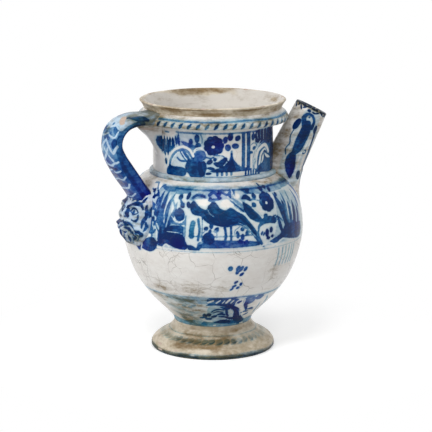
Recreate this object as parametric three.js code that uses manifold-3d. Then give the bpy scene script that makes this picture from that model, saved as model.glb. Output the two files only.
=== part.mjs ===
// Footed drug jar for syrups: ovoid body, wide neck with an overhanging flange, strap
// handle over a moulded mask, and an oblique spout. Millimetres, +Z up. The origin is
// the centre of the foot's base, and the spout leans towards +X.

import * as THREE from "three";
import { mergeVertices } from "three/addons/utils/BufferGeometryUtils.js";
import Module from "manifold-3d";

const wasm = await Module();
wasm.setup();

// Heights of the joints between the turned pieces
const STEM_Z = 22;
const SHOULDER_Z = 141.5;
const FLANGE_Z = 184;
const WAIST_Z = 193;
const TOP_Z = 200;

// Radii and walls
const FOOT_R = 49.3;
const STEM_R = 30.8;
const BELLY_R = 71.2;
const NECK_R = 47.4;
const MOUTH_R = 43;
const FLANGE_R = 59.6;
const RIM_R = 56.9;
const BODY_WALL = 5.6;
const FLOOR_Z = 29.5;

// Clearance between pieces that meet on a curved face, and facets round the jar
const GAP = 0.3;
const TURNS = 48;

// Outline points are [radius, height]
const FOOT_OUTLINE = [
  [FOOT_R, 1.5], [49.1, 4], [46.8, 7.2], [42.8, 10.2],
  [37.6, 13.2], [33.9, 16.3], [31.5, 19.2], [STEM_R, STEM_Z],
];
const FOOT_HOLLOW = [[0, 14.5], [19, 13.2], [31, 9], [38.5, 4], [41, 0]];
const BODY_OUTLINE = [
  [STEM_R, STEM_Z], [32, 25.2], [38.2, 32], [49.9, 44], [62.1, 62],
  [70, 86], [BELLY_R, 102], [67.2, 123], [57.4, 137.6], [50.4, SHOULDER_Z],
];
const CORDON_OUTLINE = [[50.2, SHOULDER_Z], [50.5, 142.7], [49.9, 144.1], [48.6, 144.9]];
const SKIRT_OUTLINE = [[58.4, 188.7], [57.2, 190.2], [55.2, 191.6], [54.2, WAIST_Z]];
const ROPE_OUTLINE = [[58.5, 183.3], [59.5, 184.4], [FLANGE_R, 186], [59.2, 187.6], [58.3, 188.4]];
const LIP_OUTLINE = [[54.2, WAIST_Z], [54.5, 194.8], [56.2, 197.6], [RIM_R, 199.2]];
const ROPE_BED_R = 56.6;
const FUNNEL_R = 49.2;
const LIP_TOP = [[56.3, TOP_Z], [55, TOP_Z], [54.3, 199.4]];

// Spout: a tapering tube along an axis that leans out from the shoulder
const SPOUT = {
  tipX: 79.1, tipZ: 191.4, leanDeg: 26.3, length: 72,
  tipR: 13.2, rootR: 16.6, boreR: 9.3, lipRound: 1, holeR: 6.5, facets: 32,
};
const SPOUT_LUTING = [[15.9, 46], [16.7, 52], [18.2, 58], [20.6, 64], [24, 70]];

// Handle: a strap in the plane at HANDLE_DEG, its centre line as [radius, height]
const HANDLE_DEG = 201;
const STRAP = { width: 24.4, thickness: 8.5, round: 3.7, steps: 34 };
const HANDLE_PATH = [
  [50, 188.4], [60, 188.5], [70.5, 188.5], [80.5, 185.4], [87, 178.4], [89.15, 169],
  [87.1, 159.5], [82.3, 150.8], [76.4, 142.4], [70.6, 134], [65.5, 127], [60.5, 121.5],
];
const HANDLE_LUTING = {
  outline: [[69, 183.3], [65.5, 178.6], [58.5, 172], [52.6, 165.5], [48.4, 158]],
  innerR: 44, width: 13, bevel: 4, deg: 197,
};

// Mask: a relief laid on the body below the handle
const MASK = { z: 110.5, halfHeight: 20.5, halfAngleDeg: 22.5, edge: 1.6, across: 20, up: 18 };

const toPoint = ([r, z]) => new THREE.Vector2(r, z);

// Points on a smooth curve through an outline.
function smooth(outline, steps) {
  const through = outline.map(([r, z]) => new THREE.Vector3(r, z, 0));
  const curve = new THREE.CatmullRomCurve3(through, false, "centripetal");
  return curve.getPoints(steps).map((p) => new THREE.Vector2(p.x, p.y));
}

// A polyline moved sideways, to the right of its direction for a positive distance.
function offset(points, distance) {
  return points.map((point, i) => {
    const before = points[Math.max(i - 1, 0)];
    const after = points[Math.min(i + 1, points.length - 1)];
    const into = i === 0 ? after.clone().sub(point) : point.clone().sub(before);
    const out = i === points.length - 1 ? into.clone() : after.clone().sub(point);
    into.normalize();
    out.normalize();
    const along = into.clone().add(out).normalize();
    const reach = distance / Math.max(along.dot(into), 0.5);
    return new THREE.Vector2(point.x + along.y * reach, point.y - along.x * reach);
  });
}

// The closed solid of a geometry: shared corners merged, flattened triangles dropped.
function solidOf(geometry) {
  const bare = geometry.clone();
  bare.deleteAttribute("normal");
  bare.deleteAttribute("uv");
  const merged = mergeVertices(bare, 1e-4);
  const corners = [];
  for (let i = 0; i < merged.index.count; i += 3) {
    const [a, b, c] = [0, 1, 2].map((k) => merged.index.getX(i + k));
    if (a !== b && b !== c && c !== a) corners.push(a, b, c);
  }
  return new wasm.Manifold(new wasm.Mesh({
    numProp: 3,
    vertProperties: merged.attributes.position.array,
    triVerts: new Uint32Array(corners),
  }));
}

function geometryOf(solid) {
  const mesh = solid.getMesh();
  const geometry = new THREE.BufferGeometry();
  geometry.setAttribute("position", new THREE.BufferAttribute(mesh.vertProperties, 3));
  geometry.setIndex(new THREE.BufferAttribute(mesh.triVerts, 1));
  geometry.computeVertexNormals();
  return geometry;
}

// A solid turned about Z from a profile that runs up the outside and down the inside.
function turned(profile, facets = TURNS) {
  return solidOf(new THREE.LatheGeometry(profile, facets).rotateX(Math.PI / 2));
}

// A ring's profile has to come back to where it starts.
function turnedRing(profile, facets = TURNS) {
  return turned([...profile, profile[0].clone()], facets);
}

const onAxis = (z) => new THREE.Vector2(0, z);
const footCurve = smooth(FOOT_OUTLINE, 10);
const bodyCurve = smooth(BODY_OUTLINE, 20);
const skirtCurve = smooth(SKIRT_OUTLINE, 4);
const lipCurve = smooth(LIP_OUTLINE, 4);

// The whole outside of the turned pieces, filled to the axis and grown by the gap.
function jarCore() {
  const outside = [
    new THREE.Vector2(FOOT_R, 0), ...footCurve, ...bodyCurve.slice(1),
    new THREE.Vector2(NECK_R, SHOULDER_Z + 0.6), new THREE.Vector2(NECK_R, ROPE_OUTLINE[0][1]),
    ...ROPE_OUTLINE.map(toPoint), ...skirtCurve, ...lipCurve.slice(1), toPoint(LIP_TOP[0]),
  ];
  const grown = offset(outside, GAP);
  const top = grown[grown.length - 1].y;
  return turned([onAxis(-GAP), ...grown, onAxis(top)]);
}

function makeFoot() {
  const hollow = FOOT_HOLLOW.map(toPoint);
  const base = [new THREE.Vector2(FOOT_R - 1, 0)];
  return turned([...hollow, ...base, ...footCurve, onAxis(STEM_Z)]);
}

function makeBody(spoutHole) {
  const inside = offset(bodyCurve, -BODY_WALL)
    .filter((p) => p.y > FLOOR_Z + 3 && p.y < SHOULDER_Z - BODY_WALL)
    .reverse();
  const floor = [new THREE.Vector2(18, FLOOR_Z), onAxis(FLOOR_Z)];
  const throat = [new THREE.Vector2(MOUTH_R, SHOULDER_Z), new THREE.Vector2(MOUTH_R + 0.6, 137.6)];
  const profile = [onAxis(STEM_Z), ...bodyCurve, ...throat, ...inside, ...floor];
  return turned(profile).subtract(spoutHole);
}

function makeNeck() {
  const corners = [
    [MOUTH_R, SHOULDER_Z], [NECK_R, SHOULDER_Z], [NECK_R, FLANGE_Z], [MOUTH_R, FLANGE_Z],
  ];
  return turnedRing(corners.map(toPoint));
}

function makeCordon(spoutRoot) {
  const seat = NECK_R + GAP;
  const profile = [[seat, SHOULDER_Z], ...CORDON_OUTLINE, [seat, 145]];
  return turnedRing(profile.map(toPoint)).subtract(spoutRoot);
}

function makeCollar() {
  const under = [[MOUTH_R, FLANGE_Z], [ROPE_BED_R, FLANGE_Z], [ROPE_BED_R, 188.7]].map(toPoint);
  return turnedRing([...under, ...skirtCurve, new THREE.Vector2(FUNNEL_R, WAIST_Z)]);
}

function makeRopeEdge() {
  const seat = ROPE_BED_R + GAP;
  const profile = [[seat, 183.6], ...ROPE_OUTLINE, [seat, 188.4]];
  return turnedRing(profile.map(toPoint));
}

function makeRim() {
  const inner = new THREE.Vector2(FUNNEL_R, WAIST_Z);
  return turnedRing([inner, ...lipCurve, ...LIP_TOP.map(toPoint)]);
}

// Moves a solid whose axis is Z, measured down from the tip, onto the spout's axis.
function placeOnSpout(geometry) {
  const lean = THREE.MathUtils.degToRad(SPOUT.leanDeg);
  return geometry.rotateY(lean).translate(SPOUT.tipX, 0, SPOUT.tipZ);
}

// A solid turned about the spout's axis from [radius, distance below the tip] pairs,
// listed from the lowest to the highest point.
function turnedOnSpout(pairs) {
  const profile = pairs.map(([r, down]) => new THREE.Vector2(r, -down));
  const closed = [onAxis(profile[0].y), ...profile, onAxis(profile[profile.length - 1].y)];
  const lathe = new THREE.LatheGeometry(closed, SPOUT.facets).rotateX(Math.PI / 2);
  return solidOf(placeOnSpout(lathe));
}

function spoutOutline(grow) {
  const { length, tipR, rootR, lipRound } = SPOUT;
  return [
    [rootR + grow, length], [tipR + grow, lipRound], [tipR - lipRound + grow, -grow],
  ];
}

function makeSpout(core) {
  const { boreR, length, lipRound } = SPOUT;
  const bore = turnedOnSpout([[boreR, length + 5], [boreR, lipRound], [boreR + 2, -2]]);
  return turnedOnSpout(spoutOutline(0)).subtract(bore).subtract(core);
}

// The coil of clay round the spout's root, filled, and grown by a clearance.
function spoutLutingForm(grow) {
  const pairs = SPOUT_LUTING.map(([r, down]) => [r + grow, down]).reverse();
  const [topR, topDown] = SPOUT_LUTING[0];
  return turnedOnSpout([...pairs, [topR - 1.2 + grow, topDown - 1.5 - grow]]);
}

function makeSpoutLuting(core) {
  return spoutLutingForm(0).subtract(turnedOnSpout(spoutOutline(GAP))).subtract(core);
}

// The strap's section, a rectangle with round corners.
function strapShape(width, thickness, round) {
  const [x, y] = [width / 2 - round, thickness / 2 - round];
  const shape = new THREE.Shape();
  shape.absarc(x, -y, round, -Math.PI / 2, 0);
  shape.absarc(x, y, round, 0, Math.PI / 2);
  shape.absarc(-x, y, round, Math.PI / 2, Math.PI);
  shape.absarc(-x, -y, round, Math.PI, Math.PI * 1.5);
  return shape;
}

// The strap bent along its path: x runs across it, y from its inner to its outer face.
function strap(grow) {
  const through = HANDLE_PATH.map(([r, z]) => new THREE.Vector3(r, 0, z));
  const path = new THREE.CatmullRomCurve3(through, false, "centripetal");
  const shape = strapShape(
    STRAP.width + 2 * grow, STRAP.thickness + 2 * grow, STRAP.round + grow,
  );
  const geometry = new THREE.ExtrudeGeometry(shape, {
    depth: 1, steps: STRAP.steps, bevelEnabled: false, curveSegments: 2,
  });
  const place = geometry.attributes.position;
  const across = new THREE.Vector3(0, 1, 0);
  for (let i = 0; i < place.count; i++) {
    const at = THREE.MathUtils.clamp(place.getZ(i), 0, 1);
    const centre = path.getPointAt(at);
    const outward = path.getTangentAt(at).cross(across);
    const flare = 1 + 0.1 * (2 * at - 1) ** 6;
    centre.addScaledVector(across, place.getX(i) * flare);
    centre.addScaledVector(outward, place.getY(i) * flare);
    place.setXYZ(i, centre.x, centre.y, centre.z);
  }
  return solidOf(geometry.rotateZ(THREE.MathUtils.degToRad(HANDLE_DEG)));
}

function makeHandleLuting(core, handleSpace) {
  const { outline, innerR, width, bevel, deg } = HANDLE_LUTING;
  const [topZ, lowZ] = [outline[0][1], outline[outline.length - 1][1]];
  const shape = new THREE.Shape([[innerR, lowZ], [innerR, topZ], ...outline].map(toPoint));
  const pad = new THREE.ExtrudeGeometry(shape, {
    depth: width - 2 * bevel, bevelThickness: bevel, bevelSize: bevel / 2,
    bevelOffset: -bevel / 2, bevelSegments: 3,
  });
  pad.translate(0, 0, bevel - width / 2).rotateX(Math.PI / 2);
  pad.rotateZ(THREE.MathUtils.degToRad(deg));
  return solidOf(pad).subtract(core).subtract(handleSpace);
}

// A round hump of relief: u runs across the mask and v up it, both from -1 to 1.
const hump = (u, v, u0, v0, du, dv) => Math.exp(-(((u - u0) / du) ** 2) - ((v - v0) / dv) ** 2);

// Height of the mask above the body: a domed face with brows, nose, cheeks and beard.
function maskRelief(u, v) {
  const dome = 5.6 * (1 - u ** 4) * (1 - 0.8 * v ** 4);
  const side = Math.abs(u);
  const brows = 2 * hump(side, v, 0.36, 0.34, 0.3, 0.12);
  const eyes = -1.6 * hump(side, v, 0.38, 0.12, 0.18, 0.1);
  const nose = 4 * hump(u, v, 0, 0.02, 0.15, 0.26);
  const cheeks = 1.6 * hump(side, v, 0.52, -0.16, 0.22, 0.2);
  const mouth = -2.2 * hump(u, v, 0, -0.4, 0.3, 0.07);
  const beard = 1.6 * hump(u, v, 0, -0.72, 0.3, 0.18);
  return MASK.edge + dome + brows + eyes + nose + cheeks + mouth + beard;
}

// Half of the mask's width at height v, as a share: wide brows, a pointed beard.
const maskHalfWidth = (v) => (v > 0 ? 1 - 0.3 * v ** 3 : 1 - 0.62 * Math.abs(v) ** 2.2);

const bodyRadiusAt = (z) => {
  const k = bodyCurve.findIndex((p) => p.y >= z);
  const [low, high] = [bodyCurve[k - 1], bodyCurve[k]];
  return THREE.MathUtils.mapLinear(z, low.y, high.y, low.x, high.x);
};

function makeMask(core, handleSpace) {
  const { z: middle, halfHeight, halfAngleDeg, across, up } = MASK;
  const halfAngle = THREE.MathUtils.degToRad(halfAngleDeg);
  const geometry = new THREE.BoxGeometry(2, 2, 2, across, up, 1);
  const place = geometry.attributes.position;
  for (let i = 0; i < place.count; i++) {
    const [u, v] = [place.getX(i), place.getY(i)];
    const z = middle + v * halfHeight;
    const angle = THREE.MathUtils.degToRad(HANDLE_DEG) + u * maskHalfWidth(v) * halfAngle;
    const height = place.getZ(i) > 0 ? maskRelief(u, v) : -2;
    const r = bodyRadiusAt(z) + height;
    place.setXYZ(i, r * Math.cos(angle), r * Math.sin(angle), z);
  }
  return solidOf(geometry).subtract(core).subtract(handleSpace);
}

const GLAZE = { color: 0xe8e6e0, roughness: 0.28, metalness: 0 };
const WORN_GLAZE = { color: 0xb9ad97, roughness: 0.45, metalness: 0 };
const BLUE_GLAZE = { color: 0x2d4f92, roughness: 0.28, metalness: 0 };

const jar = new THREE.Group();

function addPiece(name, solid, finish) {
  const mesh = new THREE.Mesh(geometryOf(solid), new THREE.MeshStandardMaterial(finish));
  mesh.name = name;
  jar.add(mesh);
}

const core = jarCore();
const handleSpace = strap(GAP);
const spoutHole = turnedOnSpout([[SPOUT.holeR, SPOUT.length + 12], [SPOUT.holeR, 40]]);

addPiece("foot", makeFoot(), WORN_GLAZE);
addPiece("body", makeBody(spoutHole), GLAZE);
addPiece("neck", makeNeck(), GLAZE);
addPiece("neck_cordon", makeCordon(spoutLutingForm(GAP)), GLAZE);
addPiece("collar", makeCollar(), GLAZE);
addPiece("rope_edge", makeRopeEdge(), BLUE_GLAZE);
addPiece("rim", makeRim(), WORN_GLAZE);
addPiece("spout", makeSpout(core), GLAZE);
addPiece("spout_luting", makeSpoutLuting(core), GLAZE);
addPiece("handle", strap(0).subtract(core), BLUE_GLAZE);
addPiece("handle_luting", makeHandleLuting(core, handleSpace), GLAZE);
addPiece("mask", makeMask(core, handleSpace), BLUE_GLAZE);

export default jar;
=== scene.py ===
"""Footed drug jar for syrups in blue-painted tin glaze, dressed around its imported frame.

The jar is thrown and luted from twelve pieces of clay. Each piece is a fine surface worked
out on a grid, and its brushwork is kept on the surface as distances to the nearest edge of
a brush stroke, which the glaze reads. Lengths in this file are millimetres unless a name
says otherwise; meshes are written in metres. The place of brushwork on a turned piece is
(across, up): across is the angle from the front (-Y) towards the spout (+X), as an arc on
a stated radius, and up is the height.
"""

import copy
import logging
import math
from collections.abc import Callable
from dataclasses import dataclass, field
from enum import Enum

import bpy
import numpy as np
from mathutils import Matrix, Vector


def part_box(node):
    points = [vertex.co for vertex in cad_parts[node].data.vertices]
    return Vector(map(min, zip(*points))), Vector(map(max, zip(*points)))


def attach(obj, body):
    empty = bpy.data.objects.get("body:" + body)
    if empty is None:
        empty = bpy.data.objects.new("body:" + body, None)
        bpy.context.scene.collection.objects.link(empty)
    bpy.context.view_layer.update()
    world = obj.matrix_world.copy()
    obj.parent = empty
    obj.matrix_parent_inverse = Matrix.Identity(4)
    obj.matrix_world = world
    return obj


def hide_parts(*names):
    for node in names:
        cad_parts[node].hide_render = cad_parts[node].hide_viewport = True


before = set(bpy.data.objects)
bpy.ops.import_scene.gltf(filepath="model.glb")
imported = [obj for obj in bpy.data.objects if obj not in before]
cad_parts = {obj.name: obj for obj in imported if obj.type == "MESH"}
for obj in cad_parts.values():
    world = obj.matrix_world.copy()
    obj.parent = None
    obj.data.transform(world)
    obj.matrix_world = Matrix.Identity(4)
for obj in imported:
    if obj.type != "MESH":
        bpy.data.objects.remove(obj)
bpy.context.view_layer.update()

Array = np.ndarray
Outline = list[tuple[float, float]]
Piece = bpy.types.Object

log = logging.getLogger("jar")

MM = 0.001
CREASE_DEG = 42.0  # faces that meet at more than this angle keep a sharp edge
TINY = 1e-9
BODY = "root"
SEED = 1671
EVERYWHERE = slice(None)

# How deep under the thrown face a point still counts as painted
SKIN = 1.2


def top_of(node: str) -> float:
    """Height of a CAD node's top."""
    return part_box(node)[1].z / MM


def reach_of(node: str) -> float:
    """Largest radius of a turned CAD node."""
    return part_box(node)[1].y / MM


# Heights where the turned pieces meet, and their main radii
STEM_Z = top_of("foot")
SHOULDER_Z = top_of("body")
FLANGE_Z = top_of("neck")
WAIST_Z = top_of("collar")
FOOT_R = reach_of("foot")
NECK_R = reach_of("neck")
STEM_R = 30.8
MOUTH_R = 43.0
BODY_WALL = 5.6
FLOOR_Z = 29.5

# Outline points are (radius, height)
FOOT_OUTLINE: Outline = [
    (FOOT_R, 1.5), (49.1, 4), (46.8, 7.2), (42.8, 10.2),
    (37.6, 13.2), (33.9, 16.3), (31.5, 19.2), (STEM_R, STEM_Z),
]
FOOT_HOLLOW: Outline = [(0, 14.5), (19, 13.2), (31, 9), (38.5, 4), (41, 0)]
BODY_OUTLINE: Outline = [
    (STEM_R, STEM_Z), (32, 25.2), (38.2, 32), (49.9, 44), (62.1, 62),
    (70, 86), (71.2, 102), (67.2, 123), (57.4, 137.6), (50.4, SHOULDER_Z),
]
CORDON_OUTLINE: Outline = [(50.2, SHOULDER_Z), (50.5, 142.7), (49.9, 144.1), (48.6, 144.9)]
SKIRT_OUTLINE: Outline = [(58.4, 188.7), (57.2, 190.2), (55.2, 191.6), (54.2, WAIST_Z)]
ROPE_OUTLINE: Outline = [
    (57.2, 183.3), (58.5, 183.3), (59.5, 184.4), (59.6, 186), (59.2, 187.6), (58.3, 188.6),
]
LIP_OUTLINE: Outline = [
    (54.4, WAIST_Z), (55, 194.8), (56.7, 197.6), (57.7, 199.1),
    (57.2, 199.65), (56, 199.85), (55, 199.2),
]
ROPE_BED_R = 56.6
FUNNEL_R = 49.2

# The angle of the front, and by how much the columns of a turned grid crowd there
FRONT_DEG = -98.0
CROWDING = 0.24


class Layer(Enum):
    """The three strengths of brushwork, from a thin wash to full dark lines."""

    WASH = "wash"
    BLUE = "blue"
    INK = "ink"


WASH, BLUE, INK = Layer
Coat = Layer | None


class Patch(Enum):
    """Soft patches that the glaze reads besides the brushwork."""

    STAIN = "stain"
    WEAR = "wear"
    CRAZE = "craze"
    VIOLET = "violet"
    SOUND = "sound"


STAIN, WEAR, CRAZE, VIOLET, SOUND = Patch


@dataclass
class Shell:
    """A closed surface: points in mm, quads and triangles as rows of point numbers."""

    points: Array
    quads: Array
    triangles: Array = field(default_factory=lambda: np.zeros((0, 3), int))


def curve_through(points: Outline, count: int) -> Array:
    """Points spaced evenly along a smooth curve through an outline.

    The curve is a centripetal Catmull-Rom spline: between two points it blends the straight
    lines through the four nearest points, with knots at the square root of their spacing.

    Args:
        points: the outline, two or three numbers a point.
        count: how many points to return.

    Returns:
        Array of count rows.
    """
    given = np.asarray(points, float)
    p = np.vstack((2 * given[0] - given[1], given, 2 * given[-1] - given[-2]))
    knots = np.concatenate(([0], np.cumsum(np.linalg.norm(np.diff(p, axis=0), axis=1) ** 0.5)))
    t = np.linspace(knots[1], knots[-2], 40 * len(given))
    k = np.clip(np.searchsorted(knots, t, side="right") - 1, 1, len(given) - 1)
    k0, k1, k2, k3 = (knots[k + i] for i in (-1, 0, 1, 2))

    def lerp(a: Array, b: Array, lo: Array, hi: Array) -> Array:
        """The straight line from a at knot lo to b at knot hi."""
        return a + (b - a) * ((t - lo) / (hi - lo))[:, None]

    a1, a2, a3 = lerp(p[k - 1], p[k], k0, k1), lerp(p[k], p[k + 1], k1, k2), lerp(p[k + 1], p[k + 2], k2, k3)
    dense = lerp(lerp(a1, a2, k0, k2), lerp(a2, a3, k1, k3), k1, k2)
    return spaced(dense, count)


def spaced(line: Array, count: int) -> Array:
    """A polyline resampled to evenly spaced points."""
    run = np.concatenate(([0], np.cumsum(np.linalg.norm(np.diff(line, axis=0), axis=1))))
    at = np.linspace(0, run[-1], count)
    return np.stack([np.interp(at, run, column) for column in line.T], axis=1)


def route(*stops: tuple | Array | int) -> Array:
    """A profile through places and curves, joined by straight lines.

    Args:
        stops: a place or a curve, then a number, then a place or a curve, and so on. The number
            counts the points of the line between the two, both ends included.

    Returns:
        Array of rows (radius, height).
    """
    rows = [np.atleast_2d(stop) for stop in stops[::2]]
    runs = [rows[0]]
    for count, before, after in zip(stops[1::2], rows, rows[1:]):
        runs += [np.linspace(before[-1], after[0], count)[1:], after[1:]]
    return np.vstack(runs)


def ripple(angle: Array, height: Array, seed: int, waves: int, fine: float) -> Array:
    """Uneven ground from -1 to 1: a sum of sines round and up the jar with random phases.

    Args:
        angle: radians round the jar, so whole numbers of waves close on themselves.
        height: mm up the jar.
        seed: start of the random draws.
        waves: how many sines are added.
        fine: highest number of waves round the jar.
    """
    draw = np.random.default_rng(seed)
    total = np.zeros(np.broadcast(angle, height).shape)
    for _ in range(waves):
        turns = draw.integers(1, int(fine) + 1)
        climb = draw.uniform(-1, 1) * fine / 60
        total += np.sin(turns * angle + climb * height + draw.uniform(0, math.tau))
    return total / math.sqrt(2 * waves)


def hand_thrown(angle: Array, height: Array) -> Array:
    """How far the wheel-thrown wall strays from its true radius: two slow waves and faint rings."""
    slow = 0.2 * np.sin(2 * angle + 0.9 + height / 70) + 0.13 * np.sin(3 * angle - 1.7 + height / 31)
    rings = 0.045 * np.sin(height * math.tau / 6.1 + angle)
    return slow + rings - 0.12


def turned(profile: Array, columns: int) -> Shell:
    """The surface of a profile turned about the jar's axis, straying from round as thrown clay does.

    A point is (r cos a, r sin a, z) for each row (r, z) of the profile and each angle a, and
    the angles lie closer together at the front. The profile runs up the outside and down the
    inside. One that starts or ends on the axis gets a single point there, and any other
    closes on itself.

    Args:
        profile: rows of (radius, height).
        columns: how many angles there are.
    """
    even = np.arange(columns) * math.tau / columns
    angles = even - CROWDING * np.sin(even - math.radians(FRONT_DEG))
    first_pole, last_pole = profile[0, 0] < 1e-6, profile[-1, 0] < 1e-6
    ring = profile[int(first_pole):len(profile) - int(last_pole)]
    r, z = ring[:, :1], ring[:, 1:]
    radius = r + hand_thrown(angles, z) * np.minimum(r / 20, 1)
    grid = np.stack((radius * np.cos(angles), radius * np.sin(angles), z + 0 * angles), axis=-1)
    closed = not (first_pole or last_pole)
    shell = skin(grid, closed)
    for at_pole, row, height in ((first_pole, 0, profile[0, 1]), (last_pole, len(ring) - 1, profile[-1, 1])):
        if at_pole:
            shell = capped(shell, row * columns, columns, (0, 0, height), row > 0)
    return shell


def grid_quads(rows: int, columns: int, close_rows: bool, close_columns: bool) -> Array:
    """Faces of a grid, counted row by row, that face out when rows climb and columns turn left.

    Args:
        rows: how many rows of points there are.
        columns: how many points a row has.
        close_rows: whether the last row joins the first.
        close_columns: whether the last column joins the first.

    Returns:
        Array of four point numbers a face.
    """
    i = np.arange(rows if close_rows else rows - 1)
    j = np.arange(columns if close_columns else columns - 1)
    i, j = (a.ravel() for a in np.meshgrid(i, j, indexing="ij"))
    i2, j2 = (i + 1) % rows, (j + 1) % columns
    return np.stack((i * columns + j, i * columns + j2, i2 * columns + j2, i2 * columns + j), axis=1)


def skin(grid: Array, close_rows: bool) -> Shell:
    """The surface of a grid of points whose columns close on themselves."""
    return Shell(grid.reshape(-1, 3), grid_quads(*grid.shape[:2], close_rows, True))


def capped(shell: Shell, start: int, count: int, centre: tuple[float, float, float], upper: bool) -> Shell:
    """The shell with a fan of triangles from one row of points to a new centre point."""
    a = start + np.arange(count)
    b = start + (np.arange(count) + 1) % count
    tip = np.full(count, len(shell.points))
    fan = np.stack((a, b, tip) if upper else (b, a, tip), axis=1)
    points = np.vstack((shell.points, centre))
    return Shell(points, shell.quads, np.vstack((shell.triangles, fan)))


def swept(sections: Array) -> Shell:
    """A closed tube through sections of equal point count, with a fan at both ends.

    Args:
        sections: array (steps, points round, 3); seen against the direction of travel, the
            points turn left, so that the faces point outwards.
    """
    steps, count, _ = sections.shape
    shell = capped(skin(sections, False), 0, count, tuple(sections[0].mean(0)), False)
    return capped(shell, (steps - 1) * count, count, tuple(sections[-1].mean(0)), True)


def slab(front: Array, back: Array) -> Shell:
    """A relief: a front grid and a back grid of the same size, joined all round their edges.

    Args:
        front: array (rows, columns, 3), with rows climbing and columns running left to right
            as seen from outside.
        back: the same grid under it.
    """
    rows, columns, _ = front.shape
    face = grid_quads(rows, columns, False, False)
    step = rows * columns
    edge = np.concatenate((
        np.arange(columns), np.arange(1, rows) * columns + columns - 1,
        (rows - 1) * columns + np.arange(columns - 2, -1, -1), np.arange(rows - 2, 0, -1) * columns,
    ))
    ahead = np.roll(edge, -1)
    wall = np.stack((edge, edge + step, ahead + step, ahead), axis=1)
    points = np.vstack((front.reshape(-1, 3), back.reshape(-1, 3)))
    return Shell(points, np.vstack((face, face[:, ::-1] + step, wall)))


FOOT_CURVE = curve_through(FOOT_OUTLINE, 40)
BODY_CURVE = curve_through(BODY_OUTLINE, 176)


def jar_radius(height: Array) -> Array:
    """Outer radius of the foot, body and neck at a height."""
    line = np.vstack((FOOT_CURVE, BODY_CURVE, [(NECK_R, SHOULDER_Z + 0.4), (NECK_R, FLANGE_Z)]))
    return np.interp(height, line[:, 1], line[:, 0])


def wall_radius(x: Array, y: Array, z: Array) -> Array:
    """Outer radius of the thrown wall in the direction of a point, at its height."""
    return jar_radius(z) + hand_thrown(np.arctan2(y, x), z)


def square_to(curve: Array) -> Array:
    """Directions square to a curve, to the left of its run: each step turned and made 1 long."""
    along = np.gradient(curve, axis=0)
    along /= np.linalg.norm(along, axis=1)[:, None]
    return np.stack((-along[:, 1], along[:, 0]), axis=1)


def make_object(name: str, shell: Shell) -> Piece:
    """A smooth-shaded object at the origin from a shell, with creases kept sharp.

    Args:
        name: the piece's name.
        shell: its surface, in mm.
    """
    mesh = bpy.data.meshes.new(name)
    corners = np.concatenate((shell.quads.ravel(), shell.triangles.ravel()))
    sizes = np.concatenate((np.full(len(shell.quads), 4), np.full(len(shell.triangles), 3)))
    mesh.vertices.add(len(shell.points))
    mesh.vertices.foreach_set("co", (shell.points * MM).astype(np.float32).ravel())
    mesh.loops.add(len(corners))
    mesh.loops.foreach_set("vertex_index", corners.astype(np.int32))
    mesh.polygons.add(len(sizes))
    mesh.polygons.foreach_set("loop_start", (np.cumsum(sizes) - sizes).astype(np.int32))
    mesh.polygons.foreach_set("use_smooth", np.ones(len(sizes), bool))
    mesh.update(calc_edges=True)
    mesh.validate()
    mesh.set_sharp_from_angle(angle=math.radians(CREASE_DEG))
    piece = bpy.data.objects.new(name, mesh)
    bpy.context.scene.collection.objects.link(piece)
    return piece


def cut_with(piece: Piece, tool: Piece) -> None:
    """Cuts the tool's solid out of a piece and removes the tool."""
    cut = piece.modifiers.new("cut", "BOOLEAN")
    cut.operation, cut.solver, cut.object = "DIFFERENCE", "EXACT", tool
    with bpy.context.temp_override(object=piece, active_object=piece):
        bpy.ops.object.modifier_apply(modifier=cut.name)
    bpy.data.objects.remove(tool)


def points_of(piece: Piece) -> Array:
    """The piece's points, in mm."""
    flat = np.empty(3 * len(piece.data.vertices), np.float32)
    piece.data.vertices.foreach_get("co", flat)
    return flat.reshape(-1, 3).astype(float) / MM


def soft_step(value: Array, low: float, high: float) -> Array:
    """0 at low, 1 at high, and an S curve between them, whichever of the two is larger."""
    t = np.clip((value - low) / (high - low), 0, 1)
    return t * t * (3 - 2 * t)


def to_segments(at: Array, line: Array) -> tuple[Array, Array]:
    """Distance of each point to each segment of a line, and the nearest place's share along it.

    Args:
        at: the points, as rows.
        line: the ends of the segments, as rows.

    Returns:
        Two arrays (points, segments).
    """
    start, along = line[:-1], np.diff(line, axis=0)
    share = np.einsum("mk,nk->mn", at, along) - np.sum(start * along, axis=1)
    share = np.clip(share / np.maximum(np.sum(along ** 2, axis=1), TINY), 0, 1)
    dx = at[:, :1] - (start[:, 0] + share * along[:, 0])
    dy = at[:, 1:] - (start[:, 1] + share * along[:, 1])
    return np.hypot(dx, dy), share


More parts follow.
